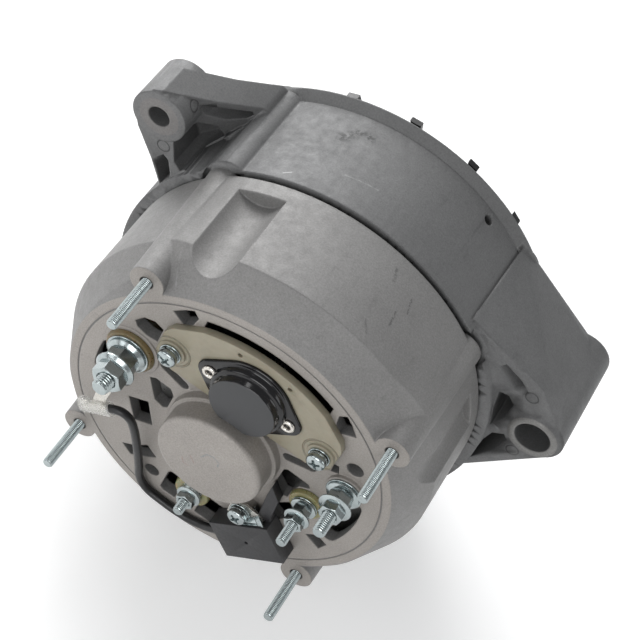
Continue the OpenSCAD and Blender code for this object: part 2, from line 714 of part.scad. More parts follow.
module drive_end_housing() {
  cavity_y = front_face_y + front_wall;
  color("#96938f") difference() {
    union() {
      difference() {
        union() {
          drive_solid();
          pivot_ear();
          adjust_ear();
        }
        rod(cavity_y, drive_rear_y, drive_inner_r);
      }
      difference() {
        union() {
          at_bolts() rod(front_face_y + 1, drive_rear_y - dip - front_face_y - 1, column_r);
          stator_ribs(cavity_y - over, drive_rear_y, drive_inner_r);
        }
        rod(cavity_y, drive_rear_y, stator_r - rib_over);
      }
      rod(front_face_y, front_bearing_end - front_face_y, front_hub_r);
    }
    rod(stator_y, drive_rear_y, stator_seat_r);
    at_bolts() {
      rod(front_face_y - over, drive_rear_y, bolt_hole_r);
      rod(front_face_y - over, head_pocket_depth + over, head_pocket_r);
      rod(drive_rear_y - dip, 2 * dip, column_r + 0.5);
    }
    along_y(front_face_y - over, front_wall + 2 * over) front_slots_2d();
    rod(front_face_y - over, front_bearing_y, front_bearing_bore / 2 + 4);
    rod(front_bearing_y, front_bearing_w + over, front_bearing_od / 2 + 0.02);
    about_shaft(retainer_angles) rod(front_bearing_y + 5, front_bearing_w, small_d / 2 + 0.05, [retainer_screw_circle, 0]);
    rod(0, drive_rear_y, pivot_bore_d / 2, [pivot_x, pivot_z]);
    rod(0, drive_rear_y, adjust_bore_d / 2, [adjust_x, adjust_z]);
    rod(front_face_y, ear_rear_y - adjust_len - front_face_y, adjust_boss_r + 0.5, [adjust_x, adjust_z]);
    along_y(ear_rear_y - slot_pocket_depth, pivot_len) polygon(pivot_slot);
    for (p = pivot_pockets) along_y(ear_rear_y - pivot_len + ear_web, pivot_len) polygon(p);
    for (p = adjust_pockets) along_y(ear_rear_y - adjust_len - 2, pivot_len) polygon(p);
    about_shaft([115]) translate([drive_inner_r - over, front_face_y + 14, 0]) rotate([0, quarter, 0])
      cylinder(h = 4 * side_wall, r = drain_r);
  }
}

module stator_core() {
  neck = 1.5;
  color("#3a3a3c") along_y(stator_y, stator_len) difference() {
    circle(stator_r);
    circle(stator_bore_r);
    for (i = [0:slot_count - 1]) rotate(i * 360 / slot_count) {
      translate([stator_bore_r - over, -slot_mouth / 2]) square([2 * neck + over, slot_mouth]);
      translate([stator_bore_r + neck, -slot_w / 2]) square([slot_depth - neck, slot_w]);
    }
  }
}

// One wound overhang, a ring with rounded corners
module overhang_ring(y0) {
  r_in = stator_bore_r + 2.5;
  r_out = stator_r - 2.6;
  soft = 4;
  turned() {
    translate([r_in + soft, y0]) square([r_out - r_in - 2 * soft, overhang]);
    translate([r_in, y0 + soft]) square([r_out - r_in, overhang - 2 * soft]);
    for (r = [r_in + soft, r_out - soft], y = [y0 + soft, y0 + overhang - soft]) translate([r, y]) circle(soft);
  }
}

module stator_winding() {
  play = 0.2;
  color("#a5542a") {
    overhang_ring(stator_y - overhang - play);
    overhang_ring(stator_end + play);
    along_y(stator_y - overhang / 2, stator_len + overhang) for (i = [0:slot_count - 1])
      rotate(i * 360 / slot_count) translate([stator_bore_r + 3, -slot_w / 2 + play])
        square([slot_depth - 3 - play, slot_w - 2 * play]);
  }
}

// The bolts' plain shanks are thinner than their rolled threads, which start at the rear face
shank_relief = 0.3;
module through_bolts() {
  head_y = front_face_y + head_pocket_depth;
  color("#b9c2c6") at_bolts() {
    rod(head_y, rear_face_y - head_y + over, small_d / 2 - shank_relief);
    stud(rear_face_y, rear_face_y + bolt_reach, small_d, [0, 0]);
    translate([0, head_y, 0]) mirror([0, 1, 0]) hexagon(0, 3.5, 8);
  }
}

module front_bearing_outer() {
  color("silver") outer_race(front_bearing_y, front_bearing_w, front_bearing_bore, front_bearing_od);
}

module front_bearing_inner() {
  color("silver") inner_race(front_bearing_y, front_bearing_w, front_bearing_bore, front_bearing_od);
}

module front_bearing_balls() {
  color("gainsboro") balls(front_bearing_y, front_bearing_w, front_bearing_bore, front_bearing_od, 8);
}

module front_bearing_cage() {
  color("goldenrod") cage(front_bearing_y, front_bearing_w, front_bearing_bore, front_bearing_od, 8);
}

module rear_bearing_outer() {
  color("silver") outer_race(rear_bearing_y, rear_bearing_w, rear_bearing_bore, rear_bearing_od);
}

module rear_bearing_inner() {
  color("silver") inner_race(rear_bearing_y, rear_bearing_w, rear_bearing_bore, rear_bearing_od);
}

module rear_bearing_balls() {
  color("gainsboro") balls(rear_bearing_y, rear_bearing_w, rear_bearing_bore, rear_bearing_od, 9);
}

module rear_bearing_cage() {
  color("goldenrod") cage(rear_bearing_y, rear_bearing_w, rear_bearing_bore, rear_bearing_od, 9);
}
retainer_t = 2.5;

module bearing_retainer() {
  color("#8d9194") difference() {
    ring(front_bearing_end, retainer_t, front_hub_r - 1, front_bearing_od / 2 - 3);
    about_shaft(retainer_angles) rod(front_bearing_end - over, 4 * over, small_d / 2 + 0.3, [retainer_screw_circle, 0]);
  }
}

module retainer_screws() {
  seat = front_bearing_end + retainer_t;
  color("#b9c2c6") about_shaft(retainer_angles) {
    rod(front_bearing_y + 6, seat - front_bearing_y - 6, small_d / 2, [retainer_screw_circle, 0]);
    rod(seat, screw_head_h, screw_head_r, [retainer_screw_circle, 0], screw_head_r - 1);
  }
}

// The horseshoe outline of a heat sink, open at the top round the brushes
module sink_2d(extra_holes) {
  difference() {
    circle(sink_out_r);
    circle(sink_in_r);
    polygon([[0, 0], polar(2 * sink_out_r, quarter - sink_cut), polar(3 * sink_out_r, quarter),
      polar(2 * sink_out_r, quarter + sink_cut)]);
    for (p = post_places) translate(p) circle(rectifier_screw_r + 0.2);
    for (a = diode_angles) translate(polar(diode_circle_r, a)) circle(diode_r - 0.5);
    for (h = extra_holes) translate([h[0], h[1]]) circle(h[2]);
  }
}

module positive_heat_sink() {
  color("#c9cbcc") along_y(positive_y, sink_t) sink_2d([[plus_at[0], plus_at[1], plus_d / 2 + nut_play]]);
}

module negative_heat_sink() {
  color("#c9cbcc") along_y(negative_y, sink_t) sink_2d([]);
}

module power_diodes() {
  color("#7d7f80") for (y = [positive_y, negative_y]) about_shaft(diode_angles)
    translate([diode_circle_r, 0, 0]) {
      rod(y - diode_h / 2, diode_h / 2, diode_r + 0.4);
      rod(y, sink_t, diode_r - 0.52);
      rod(y + sink_t, diode_h / 2, diode_r - 0.52, [0, 0], diode_r - 1.5);
    }
}

module rectifier_insulators() {
  color("#2f2f2f") for (p = post_places) {
    ring(positive_y + sink_t, insulator_t, post_r, rectifier_screw_r + 0.2, p);
    ring(negative_y + sink_t, positive_y - negative_y - sink_t, post_r, rectifier_screw_r + 0.2, p);
  }
}

module rectifier_screws() {
  color("#b9c2c6") for (p = post_places) {
    rod(negative_y, rear_inner_y - negative_y - 0.5, rectifier_screw_r, p);
    rod(negative_y - 2.5, 2.5, 3, p, 4);
  }
}

module b_plus_stud() {
  color("#b9c2c6") {
    stud(positive_y - over, rear_face_y + stud_reach, plus_d, plus_at);
    hexagon(positive_y - 5, 5, 13, plus_at);
  }
}

module b_plus_insulator() {
  color("#b39355") difference() {
    union() {
      rod(positive_y + sink_t, rear_inner_y - positive_y - sink_t, plus_bush_r + 2.5, plus_at);
      rod(rear_inner_y - over, rear_wall + 2 * over, plus_bush_r, plus_at);
      rod(rear_face_y + plus_boss_h, plus_washer_t - plus_boss_h, plus_flange_r, plus_at, plus_flange_r - 1);
    }
    rod(positive_y, rear_face_y, plus_d / 2 + nut_play, plus_at);
  }
}

// Flat washer, nut, and a second nut over what is clamped between them
module nut_stack(y0, nut, thread, at, between) {
  nut_y = y0 + flat_t;
  ring(y0, flat_t, nut[2] - 0.3, thread / 2 + nut_play, at);
  flange_nut(nut_y, nut, thread, at);
  flange_nut(nut_y + nut[1] + between, nut, thread, at);
}

module b_plus_nuts() {
  color("#b9c2c6") nut_stack(rear_face_y + plus_washer_t, m8_nut, plus_d, plus_at, ring_sheet);
}

module ground_stud() {
  color("#b9c2c6") stud(rear_inner_y, rear_face_y + stud_reach, ground_d, ground_at);
}

module ground_nuts() {
  color("#b9c2c6") nut_stack(rear_face_y + ground_boss_h, m6_nut, ground_d, ground_at, 1);
}

// A phase or field stud with its head inside the rear wall
module small_stud(at, reach) {
  stud(rear_inner_y - insulator_t, rear_face_y + reach, small_d, at);
  rod(rear_inner_y - 2 * insulator_t, insulator_t, small_d / 2 + 2, at);
}

// A flanged bush that keeps a small stud off the housing
module small_insulator(at, flange_r) {
  difference() {
    union() {
      rod(rear_inner_y - insulator_t, insulator_t, small_bush_r + 1.5, at);
      rod(rear_inner_y - over, rear_wall + 2 * over, small_bush_r, at);
      rod(rear_face_y, small_washer_t, flange_r, at, flange_r - 0.6);
    }
    rod(rear_inner_y - 2 * insulator_t, 2 * insulator_t + rear_wall + 2 * small_washer_t, small_d / 2 + nut_play, at);
  }
}

module w_stud() {
  color("#b9c2c6") small_stud(w_at, stud_reach - 1);
}

module w_insulator() {
  color("#b8ad5e") small_insulator(w_at, 8.5);
}

module w_nuts() {
  color("#b9c2c6") nut_stack(rear_face_y + small_washer_t, m5_nut, small_d, w_at, 1);
}

module field_stud() {
  color("#b9c2c6") small_stud(field_at, field_reach);
}

module field_insulator() {
  color("#c3bd6b") small_insulator(field_at, 9);
}

strap_t = 0.8;
strap_w = 9.4;
strap_y = rear_face_y + small_washer_t;

module field_nut() {
  seat = strap_y + strap_t;
  color("#b9c2c6") {
    ring(seat, flat_t, m5_nut[2] - 0.3, small_d / 2 + nut_play, field_at);
    flange_nut(seat + flat_t, m5_nut, small_d, field_at);
  }
}

// The flat conductor from the field stud to the foot of the hub
module field_strap() {
  tail = 5;
  color("#9aa0a3") along_y(strap_y, strap_t) difference() {
    translate([field_at[0] - strap_w / 2, field_at[1] - tail]) square([strap_w, tail - field_at[1] - hub_r - 1]);
    translate(field_at) circle(small_d / 2 + nut_play);
  }
}

// The plate's outline, arched over and cut clear of the hub
module plate_2d() {
  half_flat = plate_half_w - 10.3;
  difference() {
    intersection() {
      circle(plate_top_r);
      polygon([[-half_flat, plate_low_z], [half_flat, plate_low_z], [plate_half_w - 2.8, plate_low_z + 2.3],
        [plate_half_w, plate_low_z + 6], [plate_half_w, plate_low_z + 20], [plate_half_w - 2.3, plate_low_z + 25],
        [27, plate_low_z + 37.5], [27, plate_top_r], [-27, plate_top_r], [-27, plate_low_z + 37.5],
        [-plate_half_w + 2.3, plate_low_z + 25], [-plate_half_w, plate_low_z + 20],
        [-plate_half_w, plate_low_z + 6], [-plate_half_w + 2.8, plate_low_z + 2.3]]);
    }
    circle(hub_r + 0.6);
    for (s = [-1, 1]) translate([s * plate_screw_x, plate_screw_z]) circle(screw_d / 2 + 0.2);
    for (s = [-1, 1]) translate([s * pin_hole_x, pin_hole_z]) circle(pin_hole_r);
  }
}
pin_hole_x = 12.2;
pin_hole_z = 61;
pin_hole_r = 1.1;
screw_boss_h = 1.2;
screw_boss_r = 6.4;

module regulator_body() {
  color("#cfc8b2") difference() {
    union() {
      along_y(rear_face_y, plate_t) plate_2d();
      for (s = [-1, 1]) ring(rear_face_y + plate_t, screw_boss_h, screw_boss_r, screw_d / 2 + 0.2,
        [s * plate_screw_x, plate_screw_z]);
      translate([-holder_half_w, holder_y, holder_low])
        cube([2 * holder_half_w, holder_end - holder_y, holder_top - holder_low]);
    }
    for (y = brush_ys) translate([-brush_w / 2 - brush_gap, y - brush_t / 2 - brush_gap, holder_low - over])
      cube([brush_w + 2 * brush_gap, brush_t + 2 * brush_gap, holder_top - brush_wall - holder_low + over]);
    for (s = [-1, 1]) rod(rear_face_y, plate_t + over, rivet_r, [s * rivet_x, cap_z]);
  }
}
rivet_r = 2;
flange_end_r = 6;
flange_mid_r = 20;

module regulator_cap() {
  cap_y = rear_face_y + plate_t;
  color("#26272a") {
    difference() {
      hull() {
        rod(cap_y, flange_t, flange_mid_r, [0, cap_z]);
        for (s = [-1, 1]) rod(cap_y, flange_t, flange_end_r, [s * rivet_x, cap_z]);
      }
      rod(cap_y - over, 4 * over, hub_r + 0.6);
      for (s = [-1, 1]) rod(cap_y - over, 4 * over, rivet_r + 0.1, [s * rivet_x, cap_z]);
    }
    rod(cap_y + flange_t, cap_h - 0.6, cap_r, [0, cap_z]);
    rod(cap_y + flange_t + cap_h - 0.6, 0.6, cap_r, [0, cap_z], cap_r - 0.6);
  }
}

module regulator_rivets() {
  top = rear_face_y + plate_t + flange_t;
  color("#d9d6cf") for (s = [-1, 1]) {
    rod(rear_face_y + 0.3, plate_t + flange_t - 0.3, rivet_r - 0.05, [s * rivet_x, cap_z]);
    rod(top, 1.2, 3.6, [s * rivet_x, cap_z], 2.6);
  }
}

// A cross-head screw seated at y0
module face_screw(y0, shank, at) {
  cross = 1.2;
  difference() {
    union() {
      rod(y0 - shank, shank, screw_d / 2, at);
      rod(y0, screw_head_h * 0.6, screw_head_r, at);
      rod(y0 + screw_head_h * 0.6, screw_head_h * 0.4, screw_head_r, at, screw_head_r * 0.72);
    }
    for (turn = [20, 110]) translate([at[0], y0 + screw_head_h * 0.35, at[1]]) rotate([0, turn, 0])
      translate([-screw_head_r * 0.6, 0, -cross / 2]) cube([screw_head_r * 1.2, screw_head_h, cross]);
  }
}
plate_seat_y = rear_face_y + plate_t + screw_boss_h;
bracket_t = 1.2;
bracket_y = rear_face_y + cap_boss_h;

module face_screws() {
  color("#b9c2c6") {
    for (s = [-1, 1]) face_screw(plate_seat_y + flat_t + spring_t, 11, [s * plate_screw_x, plate_screw_z]);
    face_screw(bracket_y + bracket_t + flat_t + spring_t, 12, cap_screw_at);
  }
}

module washer_pair(y0, at) {
  ring(y0, flat_t, washer_r, screw_d / 2 + nut_play, at);
  ring(y0 + flat_t, spring_t, washer_r - 0.8, screw_d / 2 + nut_play, at);
}

module face_washers() {
  color("#b9c2c6") {
    for (s = [-1, 1]) washer_pair(plate_seat_y, [s * plate_screw_x, plate_screw_z]);
    washer_pair(bracket_y + bracket_t, cap_screw_at);
  }
}
box_lift = 0.3;
neck_outline = [[-28.6, -3.5], [-34.6, -11], [-36, -26], [-40, -31], [-36, -35], [-30.8, -31], [-29.8, -22],
  [-28.8, -12]];

module capacitor_body() {
  color("#2c2c2e") difference() {
    union() {
      along_y(rear_face_y + box_lift, box_h - box_lift) translate(box_at) rotate(box_turn)
        square([box_len, box_w], center = true);
      along_y(rear_face_y + box_lift, cap_boss_h - box_lift) polygon(neck_outline);
    }
    rod(rear_face_y + box_h - 2, 4, 0.9, box_at);
  }
}

module capacitor_bracket() {
  side = box_w / 2 + box_lift;
  color("#c4c6c6") {
    difference() {
      along_y(bracket_y, bracket_t) difference() {
        polygon([[-17.5, -31], [-23, -26.5], [-31, -27.2], [-34.4, -29.4], [-24.3, -39.5], [-18, -38.5]]);
        translate(cap_screw_at) circle(screw_d / 2 + 0.2);
      }
    }
    along_y(bracket_y, bracket_t) translate(box_at) rotate(box_turn) translate([-6, -side - bracket_t])
      square([12, bracket_t]);
  }
}

module capacitor_lead() {
  color("#1d1d1f") tube(lead_path, lead_d / 2, lead_sides, [0, 1, 0]);
}
tongue_r = 3.4;
barrel_len = 13;
barrel_w = 4.4;
barrel_h = 3;

// The tongue reaches from the output stud to the barrel
module tongue_2d(r) {
  translate(plus_at) circle(r + 4);
  slot_2d(plus_at, sleeve_at + [0.4, 3], r);
}

module lead_terminal() {
  tongue_y = rear_face_y + plus_washer_t + flat_t + m8_nut[1];
  color("#cfcac0") {
    along_y(tongue_y, ring_sheet) difference() {
      tongue_2d(tongue_r);
      translate(plus_at) circle(plus_d / 2 + nut_play);
    }
    along_y(sleeve_y - barrel_h / 2, barrel_h) translate(sleeve_at) rotate(sleeve_turn)
      square([barrel_len, barrel_w], center = true);
  }
}

module terminal_sleeve() {
  wall = 1;
  gap = 0.4;
  tongue_y = rear_face_y + plus_washer_t + flat_t + m8_nut[1];
  color("#e8e8e4", 0.5) difference() {
    along_y(sleeve_y - barrel_h / 2 - wall - gap, barrel_h + 2 * wall + 2 * gap) translate(sleeve_at)
      rotate(sleeve_turn) square([barrel_len + 4, barrel_w + 2 * wall + 2.4], center = true);
    along_y(sleeve_y - barrel_h / 2 - gap, barrel_h + 2 * gap) translate(sleeve_at) rotate(sleeve_turn)
      square([barrel_len + 2 * gap, barrel_w + 2 * gap], center = true);
    along_y(tongue_y - gap, ring_sheet + 2 * gap) tongue_2d(tongue_r + gap);
    translate([sleeve_at[0], sleeve_y, sleeve_at[1]]) rotate([0, -sleeve_turn, 0]) rotate([0, -quarter, 0])
      cylinder(h = barrel_len, r = lead_d / 2 + gap);
  }
}

// A carbon brush, hollowed to the slip ring that it runs on
module brush(y) {
  difference() {
    translate([-brush_w / 2, y - brush_t / 2, slip_r - 0.4]) cube([brush_w, brush_t, brush_top - slip_r + 0.4]);
    rod(y - brush_t, 2 * brush_t, brush_foot);
  }
}

module brush_positive() {
  color("#4a4a4c") brush(brush_ys[0]);
}

module brush_negative() {
  color("#4a4a4c") brush(brush_ys[1]);
}
spring_r = 1.7;
spring_wire_r = 0.25;
spring_turns = 6;
spring_steps = 12;

// A brush spring between the brush and the holder's closed end
module brush_spring(y) {
  low = brush_top + spring_wire_r + 0.1;
  high = holder_top - brush_wall - spring_wire_r - 0.1;
  count = spring_turns * spring_steps;
  path = [for (i = [0:count]) [spring_r * cos(i * 360 / spring_steps), y + spring_r * sin(i * 360 / spring_steps),
    low + (high - low) * i / count]];
  tube(path, spring_wire_r, 6, [0, 0, 1]);
}

module brush_spring_positive() {
  color("silver") brush_spring(brush_ys[0]);
}

module brush_spring_negative() {
  color("silver") brush_spring(brush_ys[1]);
}
fan_seat_r = seat_d / 2 + 0.5;
key_w = 4;
key_h = 4;
carrier_bore = 12;

module shaft() {
  rear_step = rear_bearing_y - 6;
  color("#8f9499") difference() {
    turned() polygon([[0, thread_end], [thread_d / 2 - 1, thread_end], [thread_d / 2, thread_end + 1],
      [thread_d / 2, -seat_len], [seat_d / 2, -seat_len], [seat_d / 2, 0], [fan_seat_r, 0],
      [fan_seat_r, front_bearing_y],
      [front_bearing_bore / 2, front_bearing_y], [front_bearing_bore / 2, front_bearing_end],
      [rotor_shaft_d / 2, front_bearing_end], [rotor_shaft_d / 2, rear_step],
      [rear_bearing_bore / 2 + 3, rear_step], [rear_bearing_bore / 2 + 3, rear_bearing_y],
      [rear_bearing_bore / 2, rear_bearing_y], [rear_bearing_bore / 2, rear_bearing_end],
      [carrier_bore / 2, rear_bearing_end], [carrier_bore / 2, shaft_end], [0, shaft_end]]);
    translate([-key_w / 2, 1, fan_seat_r - key_h / 2]) cube([key_w, fan_hub_len - 2, key_h]);
  }
}

module fan_key() {
  play = 0.05;
  color("#6d7073") translate([-key_w / 2 + play, 1 + play, fan_seat_r - key_h / 2 + play])
    cube([key_w - 2 * play, fan_hub_len - 2 - 2 * play, key_h - 2 * play]);
}

// Half of the claw-pole rotor's iron: hub disc, half of the core and tapered claws
module pole_piece() {
  y0 = core_start - pole_disc;
  claw_end = core_end + pole_disc * 0.6;
  under_r = coil_r + 3.5;
  disc_r = coil_r - 3;
  ring(y0, pole_disc, disc_r, rotor_shaft_d / 2 + 0.02);
  ring(core_start - over, core_len / 2 + over, core_r, rotor_shaft_d / 2 + 0.02);
  intersection() {
    turned() polygon([[disc_r - 4, y0], [pole_r - 3, y0], [pole_r, y0 + 3], [pole_r, claw_end],
      [pole_r - claw_tip_t, claw_end], [under_r, core_start], [disc_r - 4, core_start]]);
    for (i = [0:claw_count - 1]) rotate([0, i * 360 / claw_count, 0]) rotate([0, quarter, 0])
      linear_extrude(2 * pole_r) polygon([[-claw_root_w / 2, y0 - over], [claw_root_w / 2, y0 - over],
        [claw_root_w / 2, core_start + over], [claw_tip_w / 2, claw_end + over], [-claw_tip_w / 2, claw_end + over],
        [-claw_root_w / 2, core_start + over]]);
  }
}

module front_pole() {
  color("#6f7276") pole_piece();
}

module rear_pole() {
  color("#6f7276") translate([0, 2 * rotor_mid_y, 0]) mirror([0, 1, 0]) rotate([0, 180 / claw_count, 0]) pole_piece();
}
bobbin_t = 1.4;

module coil_bobbin() {
  y0 = core_start + 0.1;
  y1 = core_end - 0.1;
  color("#3d3a34") {
    ring(y0, y1 - y0, core_r + 0.1 + bobbin_t, core_r + 0.1);
    for (y = [y0, y1 - bobbin_t]) ring(y, bobbin_t, coil_r + 1, core_r + bobbin_t);
  }
}

module field_coil() {
  y0 = core_start + 0.2 + bobbin_t;
  color("#b0622f") ring(y0, core_end - core_start - 0.4 - 2 * bobbin_t, coil_r, core_r + 0.2 + bobbin_t);
}

module slip_ring_carrier() {
  color("#3b2f2a") ring(rear_bearing_end + 1.5, shaft_end - rear_bearing_end - 1.5, slip_r - 3, carrier_bore / 2 + 0.02);
}

module slip_rings() {
  color("#b87333") for (y = [ring_one_y, ring_two_y]) ring(y, slip_w, slip_r, slip_r - 2.98);
}
fan_disc_y = 3;
blade_root_r = 46;
blade_sweep = 70;
blade_phase = 12.5;
fan_front_r = 79.5;

module fan() {
  blade_y = fan_disc_y + fan_sheet;
  color("#1c1c1e") {
    difference() {
      ring(0, fan_hub_len, 16, fan_seat_r + 0.05);
      translate([-key_w / 2, -over, 0]) cube([key_w, fan_hub_len + 2 * over, fan_seat_r + key_h / 2]);
    }
    ring(fan_disc_y, fan_sheet, fan_disc_r, 15);
    intersection() {
      along_y(blade_y - fan_sheet / 2, blade_len + fan_sheet / 2) for (i = [0:blade_count - 1])
        rotate(blade_phase + i * 360 / blade_count) intersection() {
          difference() {
            translate([blade_root_r, -blade_sweep]) circle(blade_sweep + fan_sheet / 2);
            translate([blade_root_r, -blade_sweep]) circle(blade_sweep - fan_sheet / 2);
          }
          translate([blade_root_r, -blade_sweep / 3]) square([blade_r, blade_sweep / 2]);
        }
      rod(blade_y - fan_sheet, blade_len + fan_sheet, fan_front_r, [0, 0], blade_r);
    }
  }
}

module spacer_collar() {
  color("#a7abae") ring(spacer_start, front_bearing_y - spacer_start, 14.8, fan_seat_r + 0.05);
}

drive_end_housing();
rear_housing();
stator_core();
stator_winding();
through_bolts();
front_bearing_outer();
bearing_retainer();
retainer_screws();
rear_bearing_outer();
positive_heat_sink();
negative_heat_sink();
power_diodes();
rectifier_insulators();
rectifier_screws();
b_plus_stud();
b_plus_insulator();
b_plus_nuts();
ground_stud();
ground_nuts();
w_stud();
w_insulator();
w_nuts();
field_stud();
field_insulator();
field_nut();
field_strap();
regulator_body();
regulator_cap();
regulator_rivets();
face_screws();
face_washers();
capacitor_body();
capacitor_bracket();
capacitor_lead();
lead_terminal();
terminal_sleeve();
brush_positive();
brush_negative();
brush_spring_positive();
brush_spring_negative();
shaft();
front_pole();
rear_pole();
field_coil();
coil_bobbin();
slip_ring_carrier();
slip_rings();
fan();
fan_key();
spacer_collar();
front_bearing_inner();
rear_bearing_inner();
front_bearing_cage();
front_bearing_balls();
rear_bearing_cage();
rear_bearing_balls();
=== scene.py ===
import json
import math
import bmesh
import bpy
import numpy as np
from mathutils import Matrix, Vector

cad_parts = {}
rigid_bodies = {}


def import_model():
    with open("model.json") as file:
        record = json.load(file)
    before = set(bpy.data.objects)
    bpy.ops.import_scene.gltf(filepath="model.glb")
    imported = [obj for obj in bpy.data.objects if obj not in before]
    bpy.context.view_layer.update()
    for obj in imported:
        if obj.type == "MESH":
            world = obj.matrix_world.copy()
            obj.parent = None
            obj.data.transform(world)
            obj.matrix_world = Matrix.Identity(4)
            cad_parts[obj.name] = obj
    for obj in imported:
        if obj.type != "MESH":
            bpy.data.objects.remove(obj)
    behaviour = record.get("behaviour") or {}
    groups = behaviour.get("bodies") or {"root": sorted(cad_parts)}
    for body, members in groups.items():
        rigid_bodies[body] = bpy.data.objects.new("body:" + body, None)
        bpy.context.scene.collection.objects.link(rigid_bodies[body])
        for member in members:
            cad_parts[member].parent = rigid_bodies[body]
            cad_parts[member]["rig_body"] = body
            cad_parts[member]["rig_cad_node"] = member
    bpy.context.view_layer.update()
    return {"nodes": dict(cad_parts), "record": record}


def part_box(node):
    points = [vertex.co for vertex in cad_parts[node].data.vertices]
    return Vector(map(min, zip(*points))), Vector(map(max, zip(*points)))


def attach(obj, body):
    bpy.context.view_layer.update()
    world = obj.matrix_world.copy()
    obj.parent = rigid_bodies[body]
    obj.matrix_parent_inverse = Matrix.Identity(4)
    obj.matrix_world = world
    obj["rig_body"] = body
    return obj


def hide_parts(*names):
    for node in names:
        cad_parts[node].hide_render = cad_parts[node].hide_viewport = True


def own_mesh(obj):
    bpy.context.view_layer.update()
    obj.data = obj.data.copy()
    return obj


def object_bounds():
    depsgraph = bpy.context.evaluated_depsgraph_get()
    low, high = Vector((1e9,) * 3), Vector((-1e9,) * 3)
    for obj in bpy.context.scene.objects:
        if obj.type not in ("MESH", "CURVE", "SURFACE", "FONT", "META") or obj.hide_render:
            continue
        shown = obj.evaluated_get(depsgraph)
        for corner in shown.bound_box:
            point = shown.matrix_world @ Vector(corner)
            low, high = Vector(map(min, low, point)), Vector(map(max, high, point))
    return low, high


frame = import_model()
nodes = frame["nodes"]
scene = bpy.context.scene
mm = 0.001
print("frame loaded:", len(nodes), "nodes")

# the camera, solved from the photograph's circles and studs
cameraSetup = {"centre": (-0.02650, 0.56820, 0.64360), "lens": 99.72,
               "right": (-0.82201, -0.46364, 0.33065), "down": (-0.56875, 0.63928, -0.51753)}


def makeCamera(setup):
    right = Vector(setup["right"]).normalized()
    up = -Vector(setup["down"]).normalized()
    back = right.cross(up)
    up = back.cross(right)
    data = bpy.data.cameras.new("camera")
    data.lens = setup["lens"]
    data.sensor_width = 36
    data.clip_start = 0.01
    data.clip_end = 20
    camera = bpy.data.objects.new("camera", data)
    scene.collection.objects.link(camera)
    camera.matrix_world = Matrix.Translation(setup["centre"]) @ Matrix((right, up, back)).transposed().to_4x4()
    scene.camera = camera


makeCamera(cameraSetup)
print("camera set")


# meshes from surfaces of two parameters
def gridFaces(rows, columns):
    # quads of a grid that is joined round along its columns
    i = np.arange(rows - 1)[:, None] * columns
    j = np.arange(columns)[None, :]
    after = (j + 1) % columns
    return np.stack([i + j, i + columns + j, i + columns + after, i + after], -1).reshape(-1, 4)


def joined(parts):
    # several (points, faces) as one
    points, faces, base = [], [], 0
    for p, f in parts:
        points.append(p.reshape(-1, 3))
        faces.append(f + base)
        base += len(points[-1])
    return np.concatenate(points), np.concatenate(faces)


def outward(points, faces):
    # turns the faces over where the closed surface's signed volume comes out negative
    corner = points.reshape(-1, 3)[faces]
    twice = np.einsum("ij,ij->i", np.cross(corner[:, 1] - corner[:, 0], corner[:, 2] - corner[:, 0]), corner[:, 0])
    twice += np.einsum("ij,ij->i", np.cross(corner[:, 2] - corner[:, 0], corner[:, 3] - corner[:, 0]), corner[:, 0])
    return points.reshape(-1, 3), faces if twice.sum() > 0 else faces[:, ::-1]


def makePiece(name, parts, slot, replaced, sharpAngle=32, body="housing"):
    points, faces = joined([outward(*part) for part in parts])
    mesh = bpy.data.meshes.new(name)
    mesh.vertices.add(len(points))
    mesh.vertices.foreach_set("co", points.astype(np.float32).ravel())
    mesh.loops.add(faces.size)
    mesh.loops.foreach_set("vertex_index", faces.astype(np.int32).ravel())
    mesh.polygons.add(len(faces))
    mesh.polygons.foreach_set("loop_start", np.arange(len(faces), dtype=np.int32) * 4)
    mesh.update(calc_edges=True)
    mesh.validate()
    work = bmesh.new()
    work.from_mesh(mesh)
    bmesh.ops.remove_doubles(work, verts=work.verts, dist=2e-7)
    bmesh.ops.dissolve_degenerate(work, edges=work.edges, dist=1e-8)
    work.to_mesh(mesh)
    work.free()
    mesh.shade_smooth()
    mesh.set_sharp_from_angle(angle=math.radians(sharpAngle))
    return register(bpy.data.objects.new(name, mesh), slot, replaced, body)


def register(piece, slot, replaced=(), body="housing"):
    if piece.name not in scene.collection.objects:
        scene.collection.objects.link(piece)
    piece.data.materials.clear()
    piece.data.materials.append(finishes[slot])
    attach(piece, body)
    if replaced:
        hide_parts(*replaced)
    return piece


def nodeCopy(name, node, tidyFaces=False):
    # a free copy of a CAD node, its loose triangles merged and, where asked, its flat faces made whole
    piece = nodes[node].copy()
    piece.data = nodes[node].data.copy()
    piece.name = piece.data.name = name
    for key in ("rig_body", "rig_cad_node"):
        if key in piece:
            del piece[key]
    piece.parent = None
    work = bmesh.new()
    work.from_mesh(piece.data)
    bmesh.ops.remove_doubles(work, verts=work.verts, dist=1e-6)
    if tidyFaces:
        bmesh.ops.dissolve_degenerate(work, edges=work.edges, dist=1e-7)
        bmesh.ops.dissolve_limit(work, angle_limit=math.radians(0.6), verts=work.verts, edges=work.edges)
    work.to_mesh(piece.data)
    work.free()
    return piece


def softCopy(name, node, width, segments, slot):
    # a CAD node's mesh with rounded edges
    piece = nodeCopy(name, node, tidyFaces=True)
    piece.data.shade_smooth()
    bevel = piece.modifiers.new("edges", "BEVEL")
    bevel.width = width
    bevel.segments = segments
    bevel.limit_method = "ANGLE"
    bevel.angle_limit = math.radians(32)
    bevel.harden_normals = True
    return register(piece, slot, (node,))


# materials, all on Object coordinates
def shaderOf(tree):
    return next(n for n in tree.nodes if n.type == "BSDF_PRINCIPLED")


def newMaterial(name):
    material = bpy.data.materials.new(name)
    material.use_nodes = True
    tree = material.node_tree
    place = tree.nodes.new("ShaderNodeTexCoord")
    return material, tree, shaderOf(tree), place.outputs["Object"]


